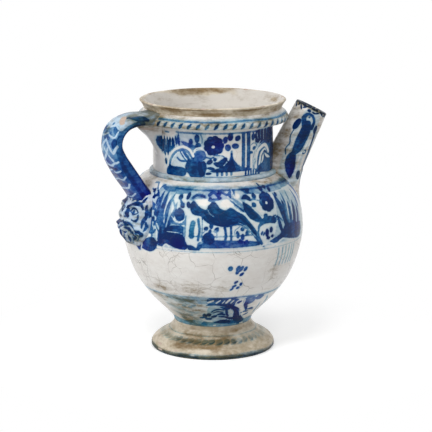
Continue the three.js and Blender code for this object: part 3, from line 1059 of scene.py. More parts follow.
    def right_flowers(self, b: Painting) -> None:
        """The large rosette with its twig of leaves, dots and a lens-shaped leaf."""
        b.rosette(38, 127, 7.4, 8)
        b.violet(38, 127, 8, 8, 0.9)
        b.dabs(BLUE, 0.84, (37, 136, 4.2, 3), (42, 137, 3, 2.6), (46, 135, 3.2, 3.4), (51, 131, 3.2, 3),
            (27, 132, 4.2, 4.4, 20), (25, 126, 4.2, 3.6, -10), (22, 136, 4.4, 2.8, -20), (34, 117, 4, 3.6),
            (37, 139, 2, 2))
        b.leaves(BLUE, 0.82, (3.6, 15, 131, 19, 132, 24, 129), (8.4, 16, 128, 20, 122, 31, 113))
        b.leaves(INK, 0.4, (2.4, 17, 126, 22, 120, 29, 115))
        b.strokes(BLUE, 0.5, (0.9, 16, 137, 20, 135, 25, 134), (0.8, 24, 130, 29, 129, 32, 128))
        b.lift((1.1, 23, 124, 28, 119, 32, 114), (0.8, 29, 121, 34, 120, 39, 119))

    def small_bird(self, b: Painting) -> None:
        """A small bird on the wing, with a thin tail and petals under it."""
        b.strokes(BLUE, 0.8, ((2, 4.4, 5.4, 5), 27, 110, 31, 113, 36, 114, 42, 113))
        b.dabs(BLUE, 0.95, (43, 114, 5.6, 5.4), (30, 104, 3.4, 3.6), (34, 104, 3.4, 6.6),
            (38, 106, 3, 4.6, -10), (35, 100, 3.6, 2.4), (39, 101, 2.6, 2.6))
        b.lift((0.8, 44, 112, 45, 114, 43, 116), (0.7, 29, 101, 32, 107, 36, 109))
        b.strokes(BLUE, 0.6, (0.9, 44, 115, 48, 114, 51, 111), (1.6, 27, 110, 26, 104, 29, 97, 32, 92))
        b.violet(34, 104, 6, 4)

    def right_reeds(self, b: Painting) -> None:
        """A clump of reeds at the edge of the scene, rooted in a dark bank."""
        b.fill(BLUE, 0.74, 33, 95, 38, 98, 44, 100, 50, 103, 54, 108, 60, 111, 66, 109, 72, 106, 80, 105,
            80, 96, 70, 94, 60, 96, 50, 96, 42, 95)
        b.leaves(BLUE, 0.74, (6, 57, 102, 54, 114, 48, 132), (5.4, 59, 103, 57, 115, 55, 127), (4.4, 61, 103,
            62, 114, 63, 124), (5, 66, 102, 69, 112, 70, 124), (4, 72, 100, 76, 110, 76, 120), (3.4, 51, 100,
            48, 108, 46, 116))
        b.leaves(BLUE, 0.4, (2.4, 60, 106, 59, 118, 58, 132), (2.4, 64, 108, 66, 120, 66, 132))
        b.fill(INK, 0.6, 56, 100, 58, 107, 61, 108, 62, 101, 60, 99)
        b.leaves(INK, 0.5, (2.2, 58, 104, 55, 112, 54, 120), (2.2, 69, 102, 70, 108, 70, 116))
        b.leaves(None, 0, (1.6, 60, 110, 60, 118, 61, 127), (1.8, 65, 108, 66, 116, 66, 126))
        b.violet(74, 108, 8, 8)
        b.lift((1.5, 30, 95, 36, 96, 42, 94, 50, 97, 60, 95, 72, 93))
        b.dabs(INK, 0.6, (42, 93, 2, 1.4))

    def by_the_mask(self, b: Painting) -> None:
        """Scrolls and dark lobes round the mask, and a plain worn place over it."""
        b.fill(None, 0, -120, 140, -66, 141, -62, 137, -66, 133, -90, 131, -120, 131)
        b.strokes(BLUE, 0.5, (1, -74, 139, -69, 139, -66, 136), (1, -72, 135, -67, 133, -64, 129))
        b.fill(BLUE, 0.84, -72, 89, -71, 94, -66, 98, -59, 100, -55, 96, -57, 91, -63, 88)
        b.fill(BLUE, 0.7, -80, 90, -76, 95, -72, 93, -73, 88, -77, 87)
        b.violet(-71, 94, 6, 6)
        b.lift((1.2, -74, 87, -72, 92, -69, 98, -62, 101))
        b.dabs(BLUE, 0.84, (-59, 127, 3.4, 5, 20), (-62, 123, 3, 4.6, 30), (-58, 119, 4.4, 5),
            (-61, 106, 4, 5, 20), (-58, 111, 2.6, 4.4, -20), (-65, 130, 4, 2.6, 30), (-68, 134, 3, 3),
            (-62, 132, 3.4, 3, 20), (-60, 114, 3, 4, 30))
        b.strokes(BLUE, 0.6, (1.1, -66, 118, -62, 121, -57, 121), (1, -60, 113, -57, 110, -54, 105),
            (1.6, -64, 104, -60, 103, -57, 106), (2.2, -72, 131, -66, 126, -61, 124), (1.2, -66, 136,
            -60, 131, -57, 124), (1.4, -63, 117, -61, 109, -60, 101))
        b.leaves(BLUE, 0.7, (2.6, -110, 118, -114, 124, -113, 132), (3, -108, 100, -114, 108, -120, 112))
        b.stains((-86, 136, 12, 7, 0.55), (60, 139, 34, 3, 0.45), (-60, 96, 8, 4, 0.25))

    def by_the_spout(self, b: Painting) -> None:
        """Grey blotches and a violet leaf on the shoulder under the spout."""
        for side in (-1, 1):
            b.leaves(BLUE, 0.5, (4.4, side * 26, 134, side * 21, 126, side * 17.6, 117),
                (3.4, side * 33, 131, side * 30, 123, side * 29, 115))
            b.strokes(BLUE, 0.38, (1, side * 30, 136, side * 24, 128, side * 21, 116), (1.2, side * 16, 112,
                side * 10, 103, side * 3, 97))
            b.violet(side * 24, 126, 10, 10, 1.2)
            b.stains((side * 26, 138, 8, 3, 0.6))
        b.leaves(BLUE, 0.68, (4.6, -9, 96, -7, 104, -12, 114), (4.6, 9, 96, 8, 105, 12, 113), (5, 0, 95,
            1, 102, 0, 110))

    def label(self, b: Painting) -> None:
        """The bare white band: two sprays of dabs, grey hatching at its end, stains, no words."""
        b.dabs(BLUE, 0.72, (3.6, 78, 3.6, 4.2, 30), (9, 78, 2.6, 5, -34), (11.4, 77.4, 2.4, 5.4, -34),
            (14.4, 77, 2.4, 4.4, -34), (12, 72.6, 3.6, 2.4, 30), (8.6, 74.4, 2.6, 3.6, -30),
            (8.6, 66, 3.4, 2.2, 20), (7.6, 62.6, 4, 2.2, 25), (12.6, 64, 2.4, 3, -20), (6, 60, 3.6, 1.8, 30),
            (10.6, 61, 3, 2.2, 20))
        b.violet(9, 70, 9, 14, 0.9)
        for x in (40, 44, 47.6, 51.4, 55, 58):
            b.strokes(BLUE, 0.26, (1.5, x, 90, x + 0.4, 83, x - 0.6, 76))
        b.violet(50, 84, 12, 9, -1)
        b.stains((-27, 58, 26, 8, 0.42), (-52, 58, 12, 5, 0.5), (40, 73, 6, 7, 0.36), (-4, 60, 9, 6, 0.22))

    def paint_lower(self, p: Painting) -> None:
        """The leaf band above the stem, before and, mirrored, behind."""
        p.patch[CRAZE] += 0.5
        p.band(BLUE, 51.2, 52.3, 0.26, 0.4)
        p.band(WASH, 50.0, 53.0, 0.12, 0.4)
        p.band(BLUE, 21.0, 26.8, 0.42, 1.4)
        p.patch[VIOLET] -= 0.8 * (p.up < 28)
        p.patch[STAIN] += 0.12 + 0.3 * (p.up < 23.5)
        for b in p.sides(5 / 6):
            self.wave(b)
            self.leaf_spray(b)
            self.worn_side(b)

    def wave(self, b: Painting) -> None:
        """A dark arching wave with white crests over it and pale water inside it."""
        b.fill(WASH, 0.06, -62, 51, -30, 51, -12, 51, -8, 44, -12, 34, -6, 25, -34, 24, -56, 25)
        b.strokes(BLUE, 0.26, ((2, 4.6, 5.6, 5), -52, 50, -40, 48.6, -24, 48.6, -10, 48.4))
        b.fill(BLUE, 0.66, -13, 45, -12, 50.6, 2, 51, 13, 50.6, 16, 48, 12, 44, 2, 44.6)
        b.fill(WASH, 0.2, -6, 26, -12, 32, -13, 40, -8, 45, 4, 45, 14, 40, 20, 30, 10, 25)
        b.fill(BLUE, 0.88, 2, 45, 8, 45, 14, 42.6, 19, 40, 23, 36, 28, 32, 34, 29, 42, 26, 40, 24, 30, 24.4,
            22, 26, 19, 29, 17, 32, 15, 37, 10, 40.6, 5, 42.4)
        b.strokes(BLUE, 0.74, ((0.9, 1.6, 2.2), -14, 44.6, -4, 45.4, 5, 43.6), ((0.8, 2.4, 1.4), -1, 42.6,
            4, 41.4, 8, 40.6), ((0.8, 1.2, 0.8), -10, 37.4, -7, 39.6, -2, 40.6, 3, 39.6),
            ((1, 2.2, 1.4), -3.6, 34.4, 0.6, 35.4, 5.4, 34.4), ((0.9, 1.6, 2), -1, 32.6, 6, 32, 12, 30.4,
            18, 29.6), ((1, 2.8, 3.6, 3), -5, 26.4, 2, 27.4, 10, 27.4, 22, 26), ((2, 2.4, 2), 5, 41, 7, 36.6,
            10, 33), ((0.7, 1, 0.7), -8, 36.6, -3, 38, 3, 37))
        b.fill(INK, 0.6, 10, 42, 17, 39, 23, 34, 36, 28, 34, 25.4, 22, 27, 18.6, 30, 16.4, 36)
        b.strokes(INK, 0.6, ((0.8, 2, 1.6), -3, 27, 5, 27, 17, 26))
        b.fill(None, 0, 8.4, 39.6, 11, 38, 17.4, 32, 12.4, 33, 9, 35)
        b.fill(WASH, 0.16, 8.4, 39.6, 11, 38, 17.4, 32, 12.4, 33, 9, 35)
        b.lift((1.5, -13, 47.4, -8, 49.4), (1.2, -5.4, 47, -2, 49.6), (0.9, 0, 46.6, 2, 49), (1.8, 3.6, 47,
            6.4, 50), (1.1, 8, 46.6, 10, 49), (0.7, 4, 29.5, 10, 29, 17, 28))

    def leaf_spray(self, b: Painting) -> None:
        """Pale curls thrown off the wave, a violet cloud and dark dabs at its foot."""
        b.dabs(BLUE, 0.5, (26.4, 47.4, 13, 8, -10), (37, 48.6, 10, 4.4))
        b.violet(28, 47, 11, 6, 1.8)
        b.strokes(BLUE, 0.8, ((1, 3, 2.6, 1), 21.4, 45, 24, 43.4, 27.4, 40, 30.4, 37),
            ((1, 2.2, 1), 30, 37.6, 36, 38, 41, 36.4), ((1, 1.8, 1), 23, 33.6, 29, 35.6, 35, 35),
            (1.6, 15.6, 46, 17.4, 47.4), (1.6, 33, 31.6, 38, 32.6))
        b.lift((1, 13, 44.4, 13.6, 47.4, 17, 49, 19.4, 47, 18, 43.6), (1, 21, 48.6, 21.4, 45, 19, 41.6),
            (1.1, 21.4, 40.6, 25, 37, 31, 32.6), (0.7, 20, 38, 23, 35.6, 27, 31.6))
        b.dabs(BLUE, 0.66, (-18, 33, 5.4, 5.2), (-13, 34.4, 5.4, 3.6, 10), (-22.6, 31, 6, 1.8, 8),
            (-7, 32.6, 7.4, 2.6, 12), (-14, 30, 9, 2.6))
        b.dabs(INK, 0.9, (-17, 33.6, 3.4, 2.4), (-12.6, 34.6, 4.4, 2, 10), (-6.6, 33, 6, 1.6, 12))
        b.strokes(BLUE, 0.5, (2.6, -33, 25.6, -26, 25, -19, 25))
        b.leaves(BLUE, 0.36, (3, 48, 48, 54, 42, 58, 34), (2.6, 44, 42, 48, 36, 54, 30))
        b.dabs(None, 0, (40, 23, 9, 1.8), (-6, 23.4, 5, 1))

    def worn_side(self, b: Painting) -> None:
        """Left of the wave: olive stains, grey-green dabs, and little paint left."""
        b.dabs(BLUE, 0.24, (-37, 43, 5.4, 2.6, 15), (-31, 42, 4.6, 2.2), (-27, 44, 5.4, 2.6, 10),
            (-50, 29, 9, 3, 6), (-30, 26, 8, 2.6))
        b.strokes(BLUE, 0.14, (2, -44, 47, -36, 45, -24, 47), (2, -58, 42, -48, 39, -38, 38), (2.4, -44, 40,
            -34, 36, -24, 37), (2, -56, 34, -44, 32, -34, 33), (2, -34, 30, -24, 28))
        b.violet(-36, 38, 24, 14, -0.6)
        b.stains((-34, 49, 22, 3, 0.4), (-40, 38, 26, 14, 0.36), (-50, 29, 12, 4, 0.5),
            (-22, 38, 12, 8, 0.2), (-32, 26, 12, 3, 0.4))


@dataclass
class Neck:
    """The wide neck and the cordon round its root."""

    columns: int = 420
    seat_gap: float = 0.15
    cordon_lap: float = 0.3
    cordon_top: float = 145.0
    cordon_map_r: float = 50.0

    def build(self, shop: Workshop) -> None:
        """Makes both pieces."""
        self.build_wall(shop)
        self.build_cordon(shop)

    def build_wall(self, shop: Workshop) -> None:
        """Turns and paints the neck."""
        profile = route((NECK_R, SHOULDER_Z), 62, (NECK_R, FLANGE_Z), 4, (MOUTH_R, FLANGE_Z), 14,
                        (MOUTH_R, SHOULDER_Z), 4, (NECK_R, SHOULDER_Z))[:-1]
        piece = make_object("thrown_neck", turned(profile, self.columns))
        points = points_of(piece)
        outside = np.hypot(points[:, 0], points[:, 1]) > wall_radius(*points.T) - SKIN
        painting = drum(points[outside], NECK_R)
        self.paint(painting)
        shop.hand_over(piece, "neck", PAINTED, (outside, painting), stain=0.08)

    def build_cordon(self, shop: Workshop) -> None:
        """Turns the small ring that covers the joint of neck and shoulder."""
        seat, low = NECK_R + self.seat_gap, SHOULDER_Z - self.cordon_lap
        bead = curve_through(CORDON_OUTLINE, 12)
        root = (CORDON_OUTLINE[0][0], low)
        profile = route(bead, 3, (seat, self.cordon_top), 4, (seat, low), 4, root)
        piece = make_object("rolled_cordon", turned(profile, self.columns))
        painting = drum(points_of(piece), self.cordon_map_r)
        painting.band(WASH, 136.0, 146.0, 0.19)
        painting.band(BLUE, 141.2, 141.6, 0.4, 0.3)
        shop.hand_over(piece, "neck_cordon", PAINTED, (EVERYWHERE, painting), stain=0.44)

    def paint(self, p: Painting) -> None:
        """The garden band: the same scene before and, mirrored, behind, with leaves between."""
        p.patch[CRAZE] += 0.35
        for b in p.sides():
            b.strokes(BLUE, 0.42, (1.3, -37, 179, 0, 179, 63, 179))
            b.fill(WASH, 0.17, -40, 172, -36, 178, -12, 178, -13, 166, -24, 168, -34, 168)
            b.fill(WASH, 0.14, -43, 152, -40, 160, -32, 165, -24, 160, -26, 152)
            b.fill(WASH, 0.24, 30, 166, 30, 178, 61, 178, 61, 166, 48, 168)
            b.fill(WASH, 0.12, -13, 145, -13, 163, 0, 162, 6, 158, 0, 152, 0, 145)
            self.left_garden(b)
            self.flower_bed(b)
            self.hut(b)
            self.right_garden(b)
        self.spout_side(p.moved(75.0))
        self.handle_side(p.moved(-75.0))

    def left_garden(self, b: Painting) -> None:
        """A hedge, a white arch over a pond, and two dark mounds."""
        self.hedge(b)
        b.dabs(INK, 0.8, (-47, 178, 6, 1.4))
        b.fill(BLUE, 0.5, -33, 172, -29, 172, -22, 170, -17, 169, -20, 166, -28, 168)
        b.leaves(BLUE, 0.56, (2.6, -35, 178, -35, 174, -34, 168), (2.2, -38, 176, -37, 172, -37, 168))
        b.violet(-30, 171, 9, 5)
        b.dabs(BLUE, 0.66, (-24, 172, 3.4, 5.4), (-19, 175, 4, 6.6), (-18, 170, 4.4, 3.4))
        b.strokes(BLUE, 0.4, (0.8, -22.5, 179, -17, 179, -15, 175.5, -15, 171.5))
        b.strokes(BLUE, 0.5, (4.6, -45, 152, -43.5, 157, -40, 162, -35, 166, -30, 167, -24.5, 164.5,
            -22, 161))
        b.lift((2.2, -46, 151, -45, 156.5, -42, 162, -37, 166, -30.5, 168, -25, 166, -22, 161.5),
            (1, -42, 153.5, -40, 158.5, -35.5, 163, -31, 164))
        b.dabs(BLUE, 0.9, (-48, 155, 2.6, 5, 8))
        b.fill(BLUE, 0.62, -34.5, 165, -30, 165, -26, 161, -24, 157, -28, 157, -31, 160)
        b.lift((1, -32, 164, -29, 160, -27, 158))
        b.strokes(BLUE, 0.66, (1.3, -36, 159, -33, 157, -27.5, 157))
        b.fill(BLUE, 0.9, -47, 149, -44.5, 152, -39, 152, -32, 152, -29, 151, -28, 147, -31, 145, -37, 144,
            -43, 144, -47, 146)
        b.fill(BLUE, 0.9, -29, 153, -26, 158, -21.5, 159, -16, 159, -12, 156, -12, 150, -14, 146, -19, 144,
            -24, 145, -28, 149)
        b.fill(INK, 0.7, -18, 157.5, -16, 157, -15, 152, -13, 148, -13, 145, -17, 147, -18, 152)
        b.fill(BLUE, 0.62, -21, 162, -20, 165, -16, 166, -13, 165, -12, 160, -15, 158, -20, 158)
        b.violet(-16.5, 162, 6, 5, 1.2)
        b.lift((1, -22, 163, -20, 167, -16, 168, -13, 166), (0.8, -28, 144, -27, 148, -25, 145),
            (1.1, -23, 144, -18, 143, -10, 144))

    def hedge(self, b: Painting) -> None:
        """A row of dark blades beside the handle, which runs on over the pad of clay."""
        for x in (-54, -50, -46.6, -43.4, -40.6):
            b.leaves(BLUE, 0.92, (4.4, x, 174, x + 0.4, 167, x + 1.2, 158.6 + 0.5 * abs(x + 49)))
        b.fill(BLUE, 0.8, -55, 168, -53, 171, -47, 172, -41, 171, -41, 165, -47, 162, -53, 163)
        b.strokes(INK, 0.5, (1.2, -52, 171, -51, 161), (1.2, -45, 171, -45, 162))
        b.lift((0.6, -48, 173, -48, 168), (0.6, -42, 173, -42, 168))

    def flower_bed(self, b: Painting) -> None:
        """The dark rosette and the scroll under it."""
        b.rosette(-5.8, 169.6, 7.9, 9, 0.97)
        b.violet(-5.8, 169.6, 8, 8, 1.3)
        b.strokes(BLUE, 0.5, (0.7, -4, 162, 0, 162, 3, 160, 5, 157), (1.1, -13, 161, -8, 160, -6, 161))
        b.strokes(BLUE, 0.82, ((2.4, 4.2, 4.4, 3.2), -5, 156, -2, 155, 1, 157, 3, 159))
        b.dabs(BLUE, 0.8, (-5, 159, 2.8, 2.8), (-9, 157, 5.2, 3.4, 30), (-8, 152, 5.6, 2.2, -8),
            (-10, 148, 4.6, 2, 5), (-13, 153, 3, 5, 20))
        b.lift((0.7, -7, 159, -6, 157, -3, 158, -1, 160))

    def hut(self, b: Painting) -> None:
        """Five petals over a hut with a sweeping roof, its railing, and two columns."""
        b.dabs(BLUE, 0.84, (3, 174, 3.6, 5.4, -4), (7, 176, 4.4, 5.6, -12), (13, 175, 5, 4, 35),
            (5, 168, 4.8, 5.4, 20), (11, 169, 6, 4.2, -8))
        b.violet(6, 173, 9, 6)
        b.strokes(BLUE, 0.5, (1.8, 8, 165, 8, 160))
        b.fill(BLUE, 0.88, 8, 163, 10, 158, 13, 155, 18, 152, 24, 151, 24, 149, -6, 149, -9, 150, -3, 152,
            2, 154, 6, 158, 7, 161, smooth=False)
        b.fill(INK, 0.6, 8, 160, 10, 155, 11, 150, 4.5, 150, 7, 155.5)
        b.lift((0.6, 11, 158, 14, 154, 19, 152), (1.9, 10, 148, 17, 148))
        b.strokes(BLUE, 0.34, (1.2, -12, 145, 10, 145, 34, 145))
        for x in (-3.2, 0.5, 4.1, 7.8):
            b.strokes(INK, 0.8, (1.9, x, 147, x, 149))
        for x in (20, 22.6, 25, 27.4, 30, 33):
            b.strokes(BLUE, 0.74, (1.5, x, 146, x, 150))
        for x, width, load in ((17.8, 2.9, 0.62), (22.4, 3.1, 0.74)):
            b.strokes(BLUE, load, (width, x, 150.5, x + 0.1, 165, x, 178))
        b.strokes(INK, 0.25, (0.7, 17, 152, 17, 178), (0.8, 24, 152, 24, 178))

    def right_garden(self, b: Painting) -> None:
        """A hanging tree over a white arch, and a dark hill at the edge of the scene."""
        b.fill(BLUE, 0.84, 29, 172, 30, 179, 45, 179, 61, 179, 61, 146, 50, 145, 38, 146, 31, 147, 32, 151,
            35, 153, 37, 160, 41, 163, 46, 160, 46, 166, 40, 170, 34, 169, 31, 170)
        b.dabs(BLUE, 0.82, (27, 175, 3.4, 5.8, -6), (31, 172, 2.8, 4.6, -38), (28, 166, 3.4, 2.8, 20),
            (25, 163, 3.8, 2, -10))
        b.strokes(BLUE, 0.4, (0.6, 25, 169, 28, 170, 31, 168))
        b.dabs(INK, 0.55, (33, 176.5, 2.4, 5), (37, 174.5, 2.6, 6), (41.5, 175.5, 2.6, 5),
            (45.5, 172.5, 3, 6), (50, 174, 3, 8))
        b.lift((0.8, 31, 178, 32, 173), (0.8, 35, 179, 35, 173), (0.8, 39, 179, 39, 172), (0.7, 44, 179,
            44, 173), (0.9, 55, 176.5, 55, 170), (1, 32, 168, 35, 171))
        b.strokes(BLUE, 0.62, (5.2, 30, 151.5, 31, 157.5, 33, 163, 37, 166, 42, 167, 46.5, 163))
        b.lift((3, 30, 151, 30, 157, 32, 163, 36, 166, 41, 167, 45, 164, 47, 161))
        b.strokes(BLUE, 0.36, (0.7, 27, 151, 27, 158, 29, 164), (0.6, 29, 153, 30, 158))
        b.fill(INK, 0.42, 50, 146, 61, 146.5, 61, 178, 55.5, 178, 53, 168, 51.5, 158)
        b.leaves(None, 0, (2.4, 36, 153, 38, 156, 39, 161), (2.6, 40, 161, 44, 158, 50, 156))

    def spout_side(self, b: Painting) -> None:
        """Behind the spout: blades and a few petals on the plain glaze."""
        b.leaves(BLUE, 0.6, (3, -8, 150, -9, 162, -12, 174), (3, 8, 150, 9, 163, 12, 175))
        b.dabs(BLUE, 0.75, (-3, 171, 3.4, 5), (2, 174, 3.6, 5.4), (4, 167.5, 4.4, 3.4))
        b.stains((0, 150, 14, 7, 0.5))

    def handle_side(self, b: Painting) -> None:
        """Plain glaze by the handle, with a chip under the collar."""
        b.chips((15, 178, 6, 1.6))
        b.stains((14, 177, 12, 3, 0.9))
        b.dabs(BLUE, 0.7, (-4, 168, 3.2, 5), (-8, 172, 3.4, 5), (-10, 165.5, 4.2, 3))


@dataclass
class Mouth:
    """The overhanging collar, its rope edge and the everted rim."""

    columns: int = 360
    strands: int = 53
    strand_columns: int = 15
    strand_depth: float = 0.75
    strand_slant: float = 0.95
    rope_z: float = 186.0
    rope_seat: tuple[float, float] = (183.6, 188.4)
    rope_gap: float = 0.1
    rope_map_r: float = 59.0
    skirt_from: tuple[float, float] = (53.5, 188.0)
    lip_wear: tuple[float, float] = (196.5, 199.8)
    map_r: float = 56.0

    def build(self, shop: Workshop) -> None:
        """Makes the three pieces from the collar up."""
        self.build_collar(shop)
        self.build_rope(shop)
        self.build_rim(shop)

    def build_collar(self, shop: Workshop) -> None:
        """Turns the collar, whose inside funnels down to the neck."""
        skirt = curve_through(SKIRT_OUTLINE, 14)
        profile = route((MOUTH_R, FLANGE_Z), 10, (ROPE_BED_R, FLANGE_Z), 5, (ROPE_BED_R, skirt[0, 1]), 3,
                        skirt, 5, (FUNNEL_R, WAIST_Z), 12, (MOUTH_R, FLANGE_Z))[:-1]
        piece = make_object("thrown_collar", turned(profile, self.columns))
        points = points_of(piece)
        least_r, least_z = self.skirt_from
        outside = (np.hypot(points[:, 0], points[:, 1]) > least_r) & (points[:, 2] > least_z)
        skirt, throat = drum(points[outside], self.map_r), drum(points[~outside], self.map_r)
        self.paint_skirt(skirt)
        # The inside of the mouth gets a greyer white as painted shade.
        self.paint_throat_shade(throat)
        shop.hand_over(piece, "collar", PAINTED, (outside, skirt), (~outside, throat), stain=0.12)

    def paint_skirt(self, p: Painting) -> None:
        """A grey-blue wash and a thin line over the rope."""
        p.band(WASH, 187.0, 191.0, 0.16, 0.4)
        p.band(BLUE, 188.9, 190.2, 0.32, 0.4)
        p.patch[VIOLET] -= 0.4
        p.patch[STAIN] += 0.26
        p.fill(None, 0, -92, 185, -56, 185, -54, 194, -92, 194)
        p.stains((-60, 190, 12, 6, 0.7))

    def paint_throat_shade(self, p: Painting) -> None:
        """Inside the mouth: the sound glaze's greyish white, darker than the outer glaze as painted shade,
        and a few stains.
        """
        # Painted shade: the greyish sound white darkens the inside of the mouth.
        p.patch[SOUND] += 1
        p.patch[STAIN] += 0.08

    def build_rope(self, shop: Workshop) -> None:
        """The rope edge: a half-round strip whose radius dips between slanting strands."""
        strip = curve_through(ROPE_OUTLINE, 16)
        seat = ROPE_BED_R + self.rope_gap
        low, high = self.rope_seat
        profile = route(strip, 3, (seat, high), 4, (seat, low), 3, strip[0])[:-1]
        shell = turned(profile, self.strands * self.strand_columns)
        points = shell.points
        phase = self.strand_phase(points)
        proud = np.clip(np.hypot(points[:, 0], points[:, 1]) - seat - 0.6, 0, 1)
        dip = self.strand_depth * (1 - np.abs(np.sin(phase / 2)) ** 0.7) * proud
        points[:, :2] *= (1 - dip / np.hypot(points[:, 0], points[:, 1]))[:, None]
        piece = make_object("rope_strip", shell)
        painting = drum(points, self.rope_map_r)
        self.paint_rope(painting)
        shop.hand_over(piece, "rope_edge", PAINTED, (EVERYWHERE, painting), stain=0.18)

    def strand_phase(self, points: Array) -> Array:
        """Place in the run of strands: a whole turn for each strand, slanting with height."""
        climb = (points[:, 2] - self.rope_z) * self.strand_slant
        return self.strands * np.arctan2(points[:, 1], points[:, 0]) - climb

    def paint_rope(self, p: Painting) -> None:
        """A slanting blue dab in every hollow between two strands."""
        pitch = p.girth / self.strands
        draw = np.random.default_rng(SEED + 1)
        for k in range(self.strands):
            x = (k + 0.25 * self.strands) * pitch
            p.strokes(BLUE, draw.uniform(0.38, 0.74), ((1.3, 2.5, 1.1), x - 1.7, 184.2, x + 1, 187.6))
        p.band(WASH, 187.2, 190, 0.22, 0.6)
        p.band(WASH, 182, 190, 0.07)
        p.patch[VIOLET] -= 0.3
        p.patch[STAIN] += 0.42
        p.fill(None, 0, -96, 181, -59, 181, -57, 192, -96, 192)
        p.stains((-64, 186, 12, 6, 0.7))

    def build_rim(self, shop: Workshop) -> None:
        """Turns the rim and wears its edge down unevenly."""
        lip = curve_through(LIP_OUTLINE, 40)
        profile = route((FUNNEL_R, WAIST_Z), 4, lip, 18, (FUNNEL_R, WAIST_Z))[:-1]
        shell = turned(profile, self.columns)
        points = shell.points
        angle = np.arctan2(points[:, 1], points[:, 0])
        height = soft_step(points[:, 2], *self.lip_wear)
        points[:, 2] -= height * 0.1 * (1 + ripple(angle, 0 * angle, SEED + 2, 9, 22))
        piece = make_object("thrown_rim", shell)
        painting = drum(points, self.map_r)
        lip_r, lip_z = LIP_OUTLINE[-1]
        inner = FUNNEL_R + (points[:, 2] - WAIST_Z) * (lip_r - FUNNEL_R) / (lip_z - WAIST_Z)
        inside = soft_step(inner - np.hypot(points[:, 0], points[:, 1]), -0.4, 0.2)
        painting.patch[SOUND] += inside
        painting.patch[STAIN] -= 0.2 * inside
        self.stain_rim(painting)
        shop.hand_over(piece, "rim", WORN, (EVERYWHERE, painting), stain=0.38, wear=0.05)

    def stain_rim(self, p: Painting) -> None:
        """Brown stains round the outside and on the far lip, where the glaze has worn thin."""
        for *place, amount in (
            (-6, 195.0, 16, 1.4, 0.75), (24, 197.6, 16, 0.8, 0.6), (-26, 198.2, 26, 0.6, 0.7),
            (-44, 196.8, 20, 1.1, 0.45), (52, 197.4, 16, 1.2, 0.3), (-168, 198, 22, 2.4, 0.55),
            (168, 198, 16, 1.8, 0.35), (-86, 196, 12, 2.4, 0.3), (100, 196, 12, 2, 0.4),
        ):
            p.smudge(STAIN, *place, amount)
            p.smudge(SOUND, *place, -1.5 * amount)
        p.chips(*((x, 199.4, 2.6, 0.6) for x in (-62, -15, 33, 88, 140, -120)))


